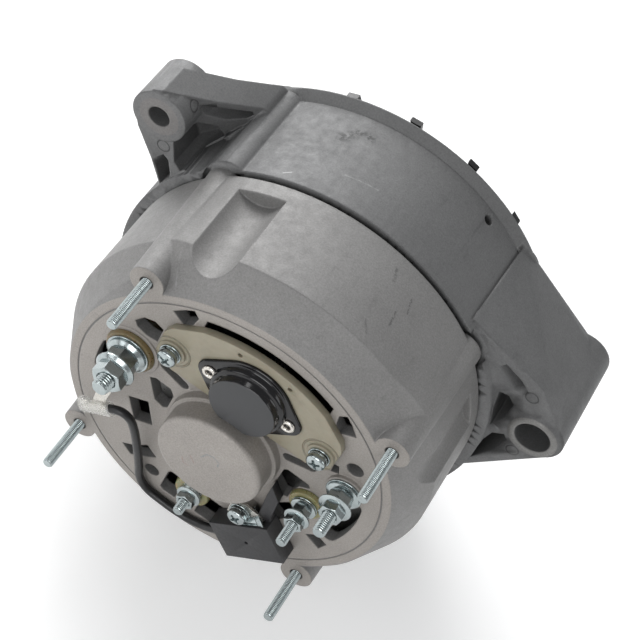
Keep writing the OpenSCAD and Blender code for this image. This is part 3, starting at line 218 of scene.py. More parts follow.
def feed(tree, node, values):
    # links what is a socket, sets what is a plain number, colour or vector
    for key, value in values.items():
        if hasattr(value, "is_linked"):
            tree.links.new(value, node.inputs[key])
        else:
            node.inputs[key].default_value = value


def addNode(tree, kind, values, operation=None):
    node = tree.nodes.new("ShaderNode" + kind)
    if operation:
        node.operation = operation
    feed(tree, node, values)
    return node


def addNoise(tree, place, scale, detail=4, roughness=0.5, stretch=None):
    if stretch:
        place = addNode(tree, "Mapping", {"Vector": place, "Scale": stretch}).outputs["Vector"]
    values = {"Vector": place, "Scale": scale, "Detail": detail, "Roughness": roughness}
    return addNode(tree, "TexNoise", values).outputs["Fac"]


def addRamp(tree, value, stops):
    ramp = addNode(tree, "ValToRGB", {"Fac": value})
    elements = ramp.color_ramp.elements
    while len(elements) < len(stops):
        elements.new(0.5)
    for element, (position, colour) in zip(elements, stops):
        element.position = position
        element.color = (*colour, 1)
    return ramp.outputs["Color"]


def addMix(tree, mode, amount, first, second):
    mix = tree.nodes.new("ShaderNodeMix")
    mix.data_type = "RGBA"
    mix.blend_type = mode
    feed(tree, mix, {0: amount, 6: first, 7: second})
    return mix.outputs[2]


def addRange(tree, value, low, high, fromLow=0.3, fromHigh=0.7):
    values = {"Value": value, "From Min": fromLow, "From Max": fromHigh, "To Min": low, "To Max": high}
    return addNode(tree, "MapRange", values).outputs["Result"]


def addBump(tree, height, distance, strength=1.0, normal=None):
    values = {"Height": height, "Distance": distance, "Strength": strength}
    if normal is not None:
        values["Normal"] = normal
    return addNode(tree, "Bump", values).outputs["Normal"]


def grey(level, warm=0.0):
    return (level * (1 + warm), level, level * (1 - warm))


def addMath(tree, operation, first, second=0.0, third=0.0):
    return addNode(tree, "Math", {0: first, 1: second, 2: third}, operation).outputs["Value"]


def addVector(tree, operation, first, second):
    step = addNode(tree, "VectorMath", {0: first, 1: second}, operation)
    return step.outputs["Value" if operation in ("DISTANCE", "DOT_PRODUCT") else "Vector"]


def within(tree, distance, reach, soft):
    # one up to the reach, falling to nothing over the soft edge
    return addRange(tree, distance, 1, 0, reach * mm, (reach + soft) * mm)


def addStroke(tree, place, start, end, width, soft):
    # distance from the segment between two points, turned into a mask of the given width
    start, end = Vector(start) * mm, Vector(end) * mm
    span = end - start
    local = addVector(tree, "SUBTRACT", place, start)
    along = addMath(tree, "ADD", addVector(tree, "DOT_PRODUCT", local, span / span.length_squared))
    along.node.use_clamp = True
    nearest = addNode(tree, "VectorMath", {0: span, "Scale": along}, "SCALE")
    return within(tree, addVector(tree, "DISTANCE", local, nearest.outputs["Vector"]), width / 2, soft)


def addRing(tree, place, centre, radius, width, soft):
    # distance from a sphere's shell, which cuts a flat face in a ring
    away = addVector(tree, "DISTANCE", place, Vector(centre) * mm)
    off = addMath(tree, "ABSOLUTE", addMath(tree, "SUBTRACT", away, radius * mm))
    return within(tree, off, width / 2, soft)


def addSpot(tree, place, centre, radius, soft):
    return within(tree, addVector(tree, "DISTANCE", place, Vector(centre) * mm), radius, soft)


def addMark(tree, place, mark):
    # one mask for a mark of one or more strokes, a ring or a spot
    if "path" in mark:
        pairs = zip(mark["path"], mark["path"][1:])
        masks = [addStroke(tree, place, a, b, mark["width"], mark["soft"]) for a, b in pairs]
        mask = masks[0]
        for other in masks[1:]:
            mask = addMath(tree, "MAXIMUM", mask, other)
    elif "width" in mark:
        mask = addRing(tree, place, mark["centre"], mark["radius"], mark["width"], mark["soft"])
    else:
        mask = addSpot(tree, place, mark["centre"], mark["radius"], mark["soft"])
    if mark.get("broken"):
        patches = addRange(tree, addNoise(tree, place, mark["broken"], 4, 0.7), 0, 1, 0.42, 0.58)
        mask = addMath(tree, "MULTIPLY", mask, patches)
    return addMath(tree, "MULTIPLY", mask, mark["amount"])


# noise scales are per metre, depths of bumps in metres
castSetup = {"blotch": 30, "grain": 1300, "scuff": 170, "scuffStretch": (1, 0.4, 1), "scuffAmount": 0.8,
             "gloss": 240, "rough": (0.50, 0.66), "metallic": 0.3, "edge": 0.0012, "dent": 0.0006,
             "pits": (230, 0.00016), "blast": (1700, 0.00008)}


def bevelNormal(tree, radius, samples):
    soft = addNode(tree, "Bevel", {"Radius": radius})
    soft.samples = samples
    return soft.outputs["Normal"]


def castMetal(name, tone, warm, marks=(), machined=()):
    # shot-blasted casting: faint blotches, fine grain, its marks and painted shade spots, and machined faces behind
    # given planes
    material, tree, shader, place = newMaterial(name)
    parts = addNode(tree, "SeparateXYZ", {"Vector": place})
    c = castSetup
    blotch = addRamp(tree, addNoise(tree, place, c["blotch"], 5, 0.6),
                     [(0.3, grey(tone * 0.93, warm)), (0.7, grey(tone * 1.07, warm))])
    grain = addRamp(tree, addNoise(tree, place, c["grain"], 3, 0.75), [(0.32, grey(0.84)), (0.68, grey(1.16))])
    scuff = addRamp(tree, addNoise(tree, place, c["scuff"], 6, 0.72, c["scuffStretch"]),
                    [(0.30, grey(0.82)), (0.42, grey(1.0)), (0.70, grey(1.0)), (0.80, grey(1.10))])
    colour = addMix(tree, "MULTIPLY", c["scuffAmount"], addMix(tree, "MULTIPLY", 1.0, blotch, grain), scuff)
    rough = addRange(tree, addNoise(tree, place, c["gloss"], 4), *c["rough"])
    for face in machined:
        flat = addVector(tree, "MULTIPLY", place, (1, 0, 1))
        disc = addSpot(tree, flat, (face["at"][0], 0, face["at"][1]), face["radius"], 0.15)
        behind = addRange(tree, parts.outputs["Y"], 0, 1, (face["y"] - 0.25) * mm, (face["y"] - 0.05) * mm)
        mask = addMath(tree, "MULTIPLY", disc, behind)
        tinted = addMix(tree, "MULTIPLY", 1.0, colour, (*face["tint"], 1))
        colour = addMix(tree, "MIX", mask, colour, tinted)
        rough = addMath(tree, "SUBTRACT", rough, addMath(tree, "MULTIPLY", mask, face["smooth"]))
    dent = None
    for mark in marks:
        # each mark's colour laid over the casting: real marks, and painted shade where a mark stands for an unmodelled
        # recess
        mask = addMark(tree, place, mark)
        markTone = mark["tone"] if isinstance(mark["tone"], tuple) else grey(mark["tone"])
        colour = addMix(tree, "MIX", mask, colour, (*markTone, 1))
        if mark.get("deep"):
            pressed = addMath(tree, "MULTIPLY", mask, -mark["deep"])
            dent = pressed if dent is None else addMath(tree, "ADD", dent, pressed)
    normal = bevelNormal(tree, c["edge"], 8)
    normal = addBump(tree, addNoise(tree, place, c["pits"][0], 4, 0.6), c["pits"][1], 0.5, normal)
    normal = addBump(tree, addNoise(tree, place, c["blast"][0], 2, 0.6), c["blast"][1], 0.5, normal)
    if dent is not None:
        normal = addBump(tree, dent, c["dent"], 1.0, normal)
    feed(tree, shader, {"Base Color": colour, "Roughness": rough, "Metallic": c["metallic"], "Normal": normal})
    return material


platedSetup = {"cloud": 420, "streak": 900, "edge": 0.00015, "depth": 0.00003}


def platedMetal(name, colour, rough=0.2):
    # zinc or bare metal with a slight cloudiness and fine turning marks
    material, tree, shader, place = newMaterial(name)
    p = platedSetup
    low = tuple(c * 0.86 for c in colour)
    tint = addRamp(tree, addNoise(tree, place, p["cloud"], 4, 0.6), [(0.3, low), (0.7, colour)])
    streaks = addNoise(tree, place, p["streak"], 3)
    normal = addBump(tree, streaks, p["depth"], 0.35, bevelNormal(tree, p["edge"], 4))
    gloss = addRange(tree, streaks, rough * 0.75, rough * 1.35)
    feed(tree, shader, {"Base Color": tint, "Roughness": gloss, "Metallic": 1.0, "Normal": normal})
    return material


mouldedSetup = {"mottle": 160, "gloss": 700, "peel": 900, "depth": 0.00003}


def moulded(name, colour, rough=0.45, mottle=0.08, edge=0.0003, scatter=0.0):
    # moulded or painted finish with a faint mottle and orange peel
    material, tree, shader, place = newMaterial(name)
    m = mouldedSetup
    low = tuple(c * (1 - mottle) for c in colour)
    high = tuple(min(1, c * (1 + mottle)) for c in colour)
    tint = addRamp(tree, addNoise(tree, place, m["mottle"], 5, 0.6), [(0.3, low), (0.7, high)])
    gloss = addRange(tree, addNoise(tree, place, m["gloss"], 3), rough * 0.85, rough * 1.2)
    normal = addBump(tree, addNoise(tree, place, m["peel"], 2), m["depth"], 0.4, bevelNormal(tree, edge, 4))
    feed(tree, shader, {"Base Color": tint, "Roughness": gloss, "Metallic": 0, "Normal": normal,
                        "Subsurface Weight": scatter, "Subsurface Scale": 0.002})
    return material


def woundWire(name, colour):
    # enamelled wire laid round the shaft, as fine ridges along the winding, with painted shade darkening the troughs
    # between them
    material, tree, shader, place = newMaterial(name)
    wave = addNode(tree, "TexWave", {"Vector": place, "Scale": 190, "Distortion": 1.2, "Detail": 2})
    wave.bands_direction = "Y"
    # the ramp darkens the troughs, where the bump is lowest, to a third: painted shade
    tint = addRamp(tree, wave.outputs["Fac"], [(0.0, tuple(c * 0.35 for c in colour)), (0.6, colour)])
    normal = addBump(tree, wave.outputs["Fac"], 0.0006, 0.8)
    feed(tree, shader, {"Base Color": tint, "Roughness": 0.3, "Metallic": 0.6, "Normal": normal})
    return material


def amberPlastic(name, colour):
    material = moulded(name, colour, 0.3, 0.12, 0.0004, 0.35)
    tree = material.node_tree
    feed(tree, shaderOf(tree), {"Transmission Weight": 0.25, "IOR": 1.5})
    return material


def clearSleeve(name):
    material = moulded(name, (0.86, 0.86, 0.82), 0.18, 0.03, 0.0003)
    tree = material.node_tree
    feed(tree, shaderOf(tree), {"Transmission Weight": 0.8, "IOR": 1.42, "Alpha": 0.55})
    return material


plateSetup = {"screws": [(37.5, 36), (-37.5, 36)], "seamRadius": 8.4, "seamWidth": 0.35,
              "soil": (0.17, 0.15, 0.105, 1), "seam": (0.10, 0.09, 0.06, 1)}


def plateIvory(name, colour):
    # moulded plate with a witness line round each screw boss and a little soiling
    material = moulded(name, colour, 0.40, 0.06, 0.0007, 0.08)
    tree = material.node_tree
    shader = shaderOf(tree)
    place = next(n for n in tree.nodes if n.type == "TEX_COORD").outputs["Object"]
    base = shader.inputs["Base Color"].links[0].from_socket
    flat = addVector(tree, "MULTIPLY", place, (1, 0, 1))
    lines = None
    for x, z in plateSetup["screws"]:
        line = addRing(tree, flat, (x, 0, z), plateSetup["seamRadius"], plateSetup["seamWidth"], 0.4)
        lines = line if lines is None else addMath(tree, "MAXIMUM", lines, line)
    soil = addRange(tree, addNoise(tree, place, 60, 6, 0.7), 0, 0.35, 0.52, 0.75)
    colour = addMix(tree, "MIX", soil, base, plateSetup["soil"])
    colour = addMix(tree, "MIX", addMath(tree, "MULTIPLY", lines, 0.35), colour, plateSetup["seam"])
    normal = shader.inputs["Normal"].links[0].from_socket
    feed(tree, shader, {"Base Color": colour, "Normal": addBump(tree, lines, 0.0004, 1.0, normal)})
    return material


def capBlack(name, faceY):
    # glossy moulded side, matt dark grey face behind the given plane
    material, tree, shader, place = newMaterial(name)
    parts = addNode(tree, "SeparateXYZ", {"Vector": place})
    face = addRange(tree, parts.outputs["Y"], 0, 1, faceY - 0.0002, faceY)
    colour = addMix(tree, "MIX", face, (0.004, 0.004, 0.005, 1), (0.036, 0.0375, 0.040, 1))
    normal = addBump(tree, addNoise(tree, place, 1400, 3), 0.00004, 0.4)
    feed(tree, shader, {"Base Color": colour, "Roughness": addRange(tree, face, 0.13, 0.5, 0, 1), "Normal": normal})
    return material


boltAt = [(60.46, 60.46), (-60.46, 60.46), (-60.46, -60.46), (60.46, -60.46)]  # X and Z of the four through-bolts

# marks on the castings, in millimetres: strokes along a path, rings (with a width) and spots; the rear housing's spots
# round the bolts are painted shade
rearMarksAndShade = [
    {"path": [(56.0, 135.8, 72.0), (49.3, 147.2, 65.3)],
     "width": 0.3, "soft": 0.5, "tone": 0.42, "amount": 0.5, "broken": 500},
    {"path": [(-19.7, 94.0, 91.4), (-21.7, 100.5, 91.0)],
     "width": 0.5, "soft": 0.9, "tone": 0.05, "amount": 0.6, "broken": 900},
    {"path": [(-32.0, 100.5, 87.9), (-33.6, 107.5, 87.2)],
     "width": 0.3, "soft": 0.5, "tone": 0.03, "amount": 0.8, "broken": 1200},
    {"path": [(-29.4, 111.5, 88.8), (-30.4, 119.0, 88.4)],
     "width": 0.4, "soft": 0.6, "tone": 0.04, "amount": 0.6, "broken": 1000},
    {"path": [(-21.0, 125.5, 91.0), (-24.5, 130.0, 90.2)],
     "width": 0.3, "soft": 0.7, "tone": 0.05, "amount": 0.5, "broken": 900},
    {"path": [(3.5, 166, 1.2), (1.9, 166, 5.4), (-1.2, 166, 6.5), (-4.4, 166, 4.8), (-4.6, 166, 2.2)],
     "width": 0.35, "soft": 0.35, "tone": (0.06, 0.13, 0.18), "amount": 0.62, "broken": 2400},
    {"path": [(10.6, 166, -7.2), (9.2, 166, -10.4), (6.4, 166, -10.6)],
     "width": 0.3, "soft": 0.35, "tone": (0.24, 0.07, 0.07), "amount": 0.5, "broken": 2400},
    {"path": [(7.8, 166, -2.8), (4.9, 166, -6.0)],
     "width": 0.3, "soft": 0.35, "tone": (0.24, 0.07, 0.07), "amount": 0.5, "broken": 2400}]
# near-black spots round the four through-bolts: painted shade of their countersunk recesses, which the mesh lacks
rearMarksAndShade += [{"centre": (x, 150, z), "radius": 3.0, "soft": 0.5, "tone": 0.02, "amount": 0.85} for x, z in boltAt]
driveMarks = [
    {"path": [(42.4, 80.4, 84.4), (39.7, 78.6, 85.8)],
     "width": 0.25, "soft": 0.3, "tone": 0.45, "amount": 0.6},
    {"path": [(20.7, 68.7, 92.2), (14.0, 67.8, 93.4), (5.7, 67.1, 94.3)],
     "width": 0.2, "soft": 0.5, "tone": 0.34, "amount": 0.45, "broken": 500},
    {"path": [(31.5, 48.4, 89.2), (27.4, 42.9, 90.6), (21.9, 42.7, 92.0)],
     "width": 2.2, "soft": 3.0, "tone": 0.03, "amount": 0.75, "broken": 420},
    {"path": [(50.5, 62.0, 80.0), (46.0, 52.0, 82.6)],
     "width": 3.0, "soft": 4.0, "tone": 0.07, "amount": 0.35, "broken": 300}]
driveMarks += [{"centre": centre, "radius": 3.0, "width": 0.35,
                "soft": 0.3, "tone": 0.03, "amount": amount, "deep": 0.4}
               for centre, amount in (((91.7, 72.9, 77.9), 0.6), ((93.8, 81.0, 55.1), 0.7),
                                      ((-98.7, 79.6, 54.6), 0.6), ((-107.4, 79.6, 16.8), 0.6))]
rearMachined = [{"at": (0, 0), "radius": 95, "y": 149.95, "tint": (1.30, 1.23, 1.16), "smooth": 0.08}]
driveMachined = [{"at": (100.5, 70.5), "radius": 9.5, "y": 81.9, "tint": (1.08, 1.03, 1.0), "smooth": 0.1},
                 {"at": (-110, 35), "radius": 12, "y": 81.9, "tint": (1.3, 1.27, 1.22), "smooth": 0.16}]

# one finish for each of the record's material slots
finishes = {
    "cast_rear": castMetal("castRear", 0.225, 0.016, rearMarksAndShade, rearMachined),
    "cast_drive": castMetal("castDrive", 0.150, -0.004, driveMarks, driveMachined),
    # core sheet made near black: painted shade of the inside seen through the windows
    "lamination": platedMetal("coreSheetInPaintedShade", (0.05, 0.05, 0.052), 0.5),
    # the winding's own enamel brown, made darker still as painted shade of the inside
    "copper_wire": woundWire("copperWireAndPaintedShade", (0.20, 0.06, 0.02)),
    "zinc": platedMetal("zincPlate", (0.42, 0.47, 0.475), 0.2),
    "bearing_steel": platedMetal("bearingSteel", (0.45, 0.45, 0.46), 0.14),
    "plate_steel": platedMetal("plateSteel", (0.62, 0.61, 0.57), 0.26),
    # heat sinks' aluminium made dark grey: painted shade of the inside seen through the windows
    "sink_aluminium": platedMetal("sinkAluminiumInPaintedShade", (0.34, 0.34, 0.335), 0.34),
    "diode_steel": platedMetal("diodeCup", (0.20, 0.20, 0.205), 0.3),
    "dark_plastic": moulded("darkPlastic", (0.018, 0.016, 0.015), 0.5),
    "amber_plastic": amberPlastic("amberPlastic", (0.19, 0.145, 0.065)),
    "yellow_plastic": amberPlastic("yellowPlastic", (0.30, 0.28, 0.13)),
    "ivory_plastic": plateIvory("ivoryPlastic", (0.265, 0.24, 0.178)),
    "black_cap": capBlack("capBlack", 0.1617),
    "rivet_metal": platedMetal("rivetMetal", (0.72, 0.69, 0.64), 0.22),
    "black_plastic": moulded("blackPlastic", (0.022, 0.022, 0.024), 0.42, 0.15, 0.0005),
    "lead_rubber": moulded("leadRubber", (0.008, 0.008, 0.009), 0.36, 0.1),
    "tinned_metal": platedMetal("tinnedMetal", (0.62, 0.60, 0.56), 0.24),
    "clear_sleeve": clearSleeve("clearSleeve"),
    "carbon": moulded("carbonBrush", (0.02, 0.02, 0.021), 0.4),
    "spring_steel": platedMetal("springSteel", (0.45, 0.45, 0.46), 0.2),
    "shaft_steel": platedMetal("shaftSteel", (0.36, 0.37, 0.385), 0.25),
    "pole_steel": platedMetal("poleSteel", (0.16, 0.165, 0.17), 0.38),
    "ring_copper": platedMetal("ringCopper", (0.52, 0.25, 0.10), 0.22),
    "fan_black": moulded("fanBlack", (0.011, 0.011, 0.012), 0.36, 0.15, 0.0004),
    "cage_brass": platedMetal("cageBrass", (0.55, 0.38, 0.13), 0.25),
}
slotOf = {s["node"]: s["material_slot"] for s in frame["record"]["subparts"]}
for nodeName, node in nodes.items():
    node.data.materials.clear()
    node.data.materials.append(finishes[slotOf[nodeName]])
print("materials made:", len(finishes))


# the capacitor's lead, held at both ends, along the source's route
leadSetup = {"radius": 2.0, "sides": 20, "steps": 160,
             "route": [(49.3, 162, -15.9), (46.8, 162, -13.9), (43.8, 161.6, -12.9), (40.8, 161, -13.9),
                       (38, 160, -17.5), (35.3, 159, -23.5), (33, 158, -30.2), (30.5, 156.8, -38.5),
                       (28.3, 155.5, -46.5), (26.3, 154.4, -54.5), (24.6, 153.4, -61.5), (21.8, 152.6, -67),
                       (17, 152.3, -70.3), (10, 152.2, -71.4), (2, 152.2, -71.7), (-6, 152.2, -70.8),
                       (-12, 152.6, -68.1), (-16.2, 153.6, -64.2), (-19.2, 154.3, -60.6), (-21.6, 154.5, -58)]}


def smoothPath(points, steps):
    # Catmull-Rom curve through the points, sampled evenly by index
    p = np.asarray(points, float)
    p = np.vstack([2 * p[0] - p[1], p, 2 * p[-1] - p[-2]])
    s = np.linspace(0, len(points) - 1 - 1e-9, steps)
    i = s.astype(int)
    t = (s - i)[:, None]
    a, b, c, d = p[i], p[i + 1], p[i + 2], p[i + 3]
    return 0.5 * (2 * b + (c - a) * t + (2 * a - 5 * b + 4 * c - d) * t ** 2 + (3 * b - a - 3 * c + d) * t ** 3)


def tubeSurface(path, radius, sides, reference=(0, 1, 0)):
    # a circle carried along the path, its start set by a fixed reference direction
    path = np.asarray(path, float)
    tangent = np.gradient(path, axis=0)
    tangent /= np.linalg.norm(tangent, axis=1)[:, None]
    side = np.cross(tangent, np.asarray(reference, float))
    side /= np.linalg.norm(side, axis=1)[:, None]
    up = np.cross(side, tangent)
    angle = np.linspace(0, 2 * np.pi, sides, endpoint=False)
    radii = np.broadcast_to(np.asarray(radius, float), (len(path),))[:, None, None]
    around = np.cos(angle)[None, :, None] * side[:, None] + np.sin(angle)[None, :, None] * up[:, None]
    return closedTube(path[:, None] + radii * around, path)


def closedTube(rings, path):
    # rings joined along the path and drawn together to a point at either end
    sides = rings.shape[1]
    rings = np.concatenate([np.repeat(path[:1, None], sides, 1), rings, np.repeat(path[-1:, None], sides, 1)])
    return rings * mm, gridFaces(len(rings), sides)


leadTube = tubeSurface(smoothPath(leadSetup["route"], leadSetup["steps"]), leadSetup["radius"], leadSetup["sides"])
makePiece("capacitorLead", [leadTube], "lead_rubber", ("capacitor_lead",), 60)
print("lead laid")


# turned, hexagonal and threaded metal
def turnedSurface(profile, at=(0, 0), sides=72, acrossFlats=None, hexRows=None, turn=0.0):
    # radius from the profile at each row, cut down to a hexagon's edge where the row is part of a hexagon
    profile = np.asarray(profile, float)
    angle = np.linspace(0, 2 * np.pi, sides, endpoint=False)
    radius = np.repeat(profile[:, :1], sides, 1)
    if acrossFlats:
        edge = acrossFlats / 2 / np.cos(np.mod(angle, np.pi / 3) - np.pi / 6)
        rows = np.asarray(hexRows, bool)[:, None]
        radius = np.where(rows, np.minimum(radius, edge[None, :]), radius)
    return placed(at, radius, profile[:, 1:], angle + turn) * mm, gridFaces(len(profile), sides)


def placed(at, radius, y, angle):
    # a surface of revolution's points, from radius, height and angle
    y = y + np.zeros_like(radius)
    return np.stack([at[0] + radius * np.cos(angle), y, at[1] + radius * np.sin(angle)], -1)


def threadedRod(start, end, threadStart, diameter, pitch, at, sides=28, perTurn=8):
    # radius falls from the crest to the root with the distance from a helix of the given pitch
    count = int(max(2, (end - threadStart) / pitch * perTurn))
    y = np.concatenate([[start, start], np.linspace(threadStart, end, count), [end]])
    crest = diameter / 2
    chamfer = pitch * 0.8
    envelope = np.minimum(crest, crest - chamfer * 0.7 + (end - y) * 0.7)
    envelope[0] = 0
    envelope[-1] = 0
    angle = np.linspace(0, 2 * np.pi, sides, endpoint=False)
    phase = np.mod(y[:, None] / pitch - angle[None, :] / (2 * np.pi), 1)
    valley = np.clip((1 - np.abs(2 * phase - 1) - 0.1) / 0.8, 0, 1)
    fade = np.clip((y - threadStart) / (pitch * 1.5), 0, 1)[:, None]
    radius = np.minimum(envelope[:, None], crest - 0.58 * pitch * valley * fade)
    return placed(at, radius, y[:, None], angle) * mm, gridFaces(len(y), sides)


def flangeNut(start, flats, height, flangeR, thread, at, turn, flangeT=0.9):
    # flange rim, cone up to the hexagon, then the hexagon under a chamfer cone and a countersunk hole
    half = flats / 2
    corner = half / math.cos(math.pi / 6)
    rim = start + flangeT
    coneTop = start + height * 0.30
    top = start + height
    bore = thread / 2 + 0.1
    chamfer = (corner - half * 0.97) * 0.55
    rows = [(bore, start, 0), (flangeR - 0.3, start, 0), (flangeR, start + 0.3, 0), (flangeR, rim, 0)]
    rows += [(corner + (flangeR - corner) * (1 - s), rim + (coneTop - rim) * s, 0) for s in (0.1, 0.55, 0.95)]
    rows += [(corner, coneTop, 1), (corner, top - chamfer, 1)]
    rows += [(corner - (corner - half * 0.95) * s, top - chamfer * (1 - s), 1) for s in (0.2, 0.4, 0.6, 0.8, 1.0)]
    rows += [(thread / 2 + 0.7, top, 0), (bore, top - 0.6, 0), (bore, start, 0)]
    rows = np.array(rows)
    return turnedSurface(rows[:, :2], at, 72, flats, rows[:, 2] > 0, turn)


def flatWasher(start, thickness, outer, hole, at, soft=0.15, sides=48):
    profile = [(hole, start), (outer - soft, start), (outer, start + soft), (outer, start + thickness - soft),
               (outer - soft, start + thickness), (hole, start + thickness), (hole, start)]
    return turnedSurface(profile, at, sides)


# head rows are radius, height and whether the row is part of the hexagon
padHead = [(0, 140, 0), (4.5, 140, 0), (4.5, 142, 0), (0, 142, 0)]
studs = {"throughBolts": {"node": "through_bolts", "at": boltAt, "rod": (28.5, 177, 146), "diameter": 5, "pitch": 0.8,
                          "flats": 8,
                          "head": [(0, 25, 0), (3.7, 25, 1), (4.62, 25.6, 1), (4.62, 28.5, 1), (0, 28.5, 0)]},
         "outputStud": {"node": "b_plus_stud", "at": [(54, 15)], "rod": (133, 176, 151), "diameter": 8, "pitch": 1.25,
                        "flats": 13, "head": [(0, 129, 0), (7, 129, 1), (7.5, 129.6, 1), (7.5, 134, 1), (0, 134, 0)]},
         "groundStud": {"node": "ground_stud", "at": [(-55, 20)], "rod": (144, 176, 150), "diameter": 6, "pitch": 1.0},
         "phaseStud": {"node": "w_stud", "at": [(-45, -5)], "rod": (140, 175, 150), "diameter": 5, "pitch": 0.8,
                       "flats": None, "head": padHead},
         "fieldStud": {"node": "field_stud", "at": [(0, -50)], "rod": (140, 165, 150), "diameter": 5, "pitch": 0.8,
                       "flats": None, "head": padHead}}


def makeStuds():
    for name, s in studs.items():
        parts = []
        for place in s["at"]:
            parts.append(threadedRod(*s["rod"], s["diameter"], s["pitch"], place))
            if "head" in s:
                rows = np.array(s["head"])
                parts.append(turnedSurface(rows[:, :2], place, 48 if s["flats"] else 32, s["flats"], rows[:, 2] > 0))
        makePiece(name, parts, "zinc", (s["node"],))


makeStuds()

nuts = {"outputNuts": {"node": "b_plus_nuts", "at": (54, 15), "washer": (153, 1, 10.2, 4.15), "flats": 13,
                       "height": 8, "flange": 9.2, "thread": 8, "starts": [154, 162.8], "turns": [0.35, 0.08]},
        "groundNuts": {"node": "ground_nuts", "at": (-55, 20), "washer": (152, 1, 8.4, 3.15), "flats": 10,
                       "height": 6, "flange": 7.6, "thread": 6, "starts": [153, 160], "turns": [0.2, 0.62]},
        "phaseNuts": {"node": "w_nuts", "at": (-45, -5), "washer": (152.5, 1, 6.2, 2.6), "flats": 8,
                      "height": 5, "flange": 6, "thread": 5, "starts": [153.5, 159.5], "turns": [0.5, 0.1]},
        "fieldNuts": {"node": "field_nut", "at": (0, -50), "washer": (153.3, 1, 5.7, 2.6), "flats": 8,
                      "height": 5, "flange": 5.9, "thread": 5, "starts": [154.3], "turns": [0.25]}}


def makeNuts():
    for name, n in nuts.items():
        start, thick, outer, hole = n["washer"]
        parts = [flatWasher(start, thick, outer, hole, n["at"])]
        for y, turn in zip(n["starts"], n["turns"]):
            parts.append(flangeNut(y, n["flats"], n["height"], n["flange"], n["thread"], n["at"], turn))
        makePiece(name, parts, "zinc", (n["node"],))


makeNuts()
print("studs and nuts made")

# cross-head screws with their washers
screws = {"places": [(37.5, 154.7, 36, 0.3), (-37.5, 154.7, 36, 1.0), (-23.2, 156.2, -33, 0.55)],
          "flat": 1.0, "spring": 1.2, "headR": 4.4, "headH": 3.2, "washerR": 5.1,
          "crown": 0.48, "crownPower": 2.6,
           "slotHalf": 0.62, "slotReach": 0.62, "slotEdge": 0.28, "endEdge": 0.5, "core": 0.30, "recess": 0.55,
           "shankR": 2.5, "shank": 12}


def crossHead(at, start, turn, k, rows=46, sides=96):
    # height over a disc: a flattened dome less a cross-shaped recess that narrows to its floor
    headR, headH = k["headR"], k["headH"]
    angle = np.linspace(0, 2 * np.pi, sides, endpoint=False)
    radius = headR * np.linspace(0, 1, rows)[:, None]
    dome = headH * (1 - k["crown"] + k["crown"] * np.sqrt(np.clip(1 - (radius / headR) ** k["crownPower"], 0, 1)))
    u, v = radius * np.cos(angle), radius * np.sin(angle)
    across = np.minimum(np.abs(u), np.abs(v))
    along = np.maximum(np.abs(u), np.abs(v))
    arm = np.clip((k["slotHalf"] - across) / k["slotEdge"], 0, 1)
    arm = arm * np.clip((headR * k["slotReach"] - along) / k["endEdge"], 0, 1)
    core = np.clip((headR * k["core"] - np.hypot(u, v)) / k["endEdge"], 0, 1)
    height = dome - np.maximum(arm, core) * headH * k["recess"]
    top = placed(at, radius + 0 * angle, start + height, angle + turn)
    wall = [placed(at, r + 0 * angle, start + y, angle + turn)
            for r, y in ((headR, headH * 0.3), (headR, 0.12), (headR - 0.12, 0),
                         (k["shankR"], 0), (k["shankR"], -k["shank"]), (0, -k["shank"]))]
    points = np.concatenate([top, np.stack(wall)])
    return points * mm, gridFaces(len(points), sides)


def springWasher(start, thickness, outer, hole, at, turn):
    # a square section carried round most of a turn, its ends a little apart in height
    angle = np.linspace(0.06, 2 * np.pi - 0.06, 60)[:, None] + turn
    lift = np.linspace(0, 0.35, 60)[:, None]
    section = np.array([(hole, 0), (outer - 0.1, 0), (outer, 0.1),
                        (outer, thickness - 0.1), (outer - 0.1, thickness), (hole, thickness)])
    ring = placed(at, section[:, 0] + 0 * angle, start + section[:, 1] * 0.72 + lift, angle)
    return closedTube(ring, ring.mean(1))


def makeScrews():
    heads, washers = [], []
    for x, y, z, turn in screws["places"]:
        heads.append(crossHead((x, z), y + screws["flat"] + screws["spring"], turn, screws))
        washers.append(flatWasher(y, screws["flat"], screws["washerR"], 2.6, (x, z)))
        washers.append(springWasher(y + screws["flat"], screws["spring"], 4.5, 2.7, (x, z), turn * 3))
    makePiece("crossHeadScrews", heads, "zinc", ("face_screws",), 40)
    makePiece("screwWashers", washers, "zinc", ("face_washers",))


makeScrews()
print("screws made")


# the lead's terminal and its clear sleeve
terminalSetup = {"studAt": (54, 15), "tongueY": 162.4, "sheet": 0.7, "eye": 7.3, "hole": 4.15,
                 "middle": (54.6, 162, -20), "turn": -38, "barrelLength": 12.6, "barrelHalf": (2.15, 1.5),
                 "crimps": [(0.30, -0.35, 0.16), (0.22, 0.4, 0.14)], "spread": 0.3,  # depth, place and width
                 "endReach": 0.05, "endDrop": 0.12, "strap": [(54, 162.4, 8.8), (54.9, 162.15, -18.8)],
                 "strapHalf": 3.3, "strapTaper": 0.9, "strapThick": 0.34, "strapRise": 0.5, "riseFrom": 0.7,
                 "sleeveHalf": (4.2, 2.7), "sleeveLength": 16.6, "sleeveWall": 0.5,
                 "mouthFrom": 0.8, "mouthDrop": 0.05, "ripple": 0.02, "ripples": 9}


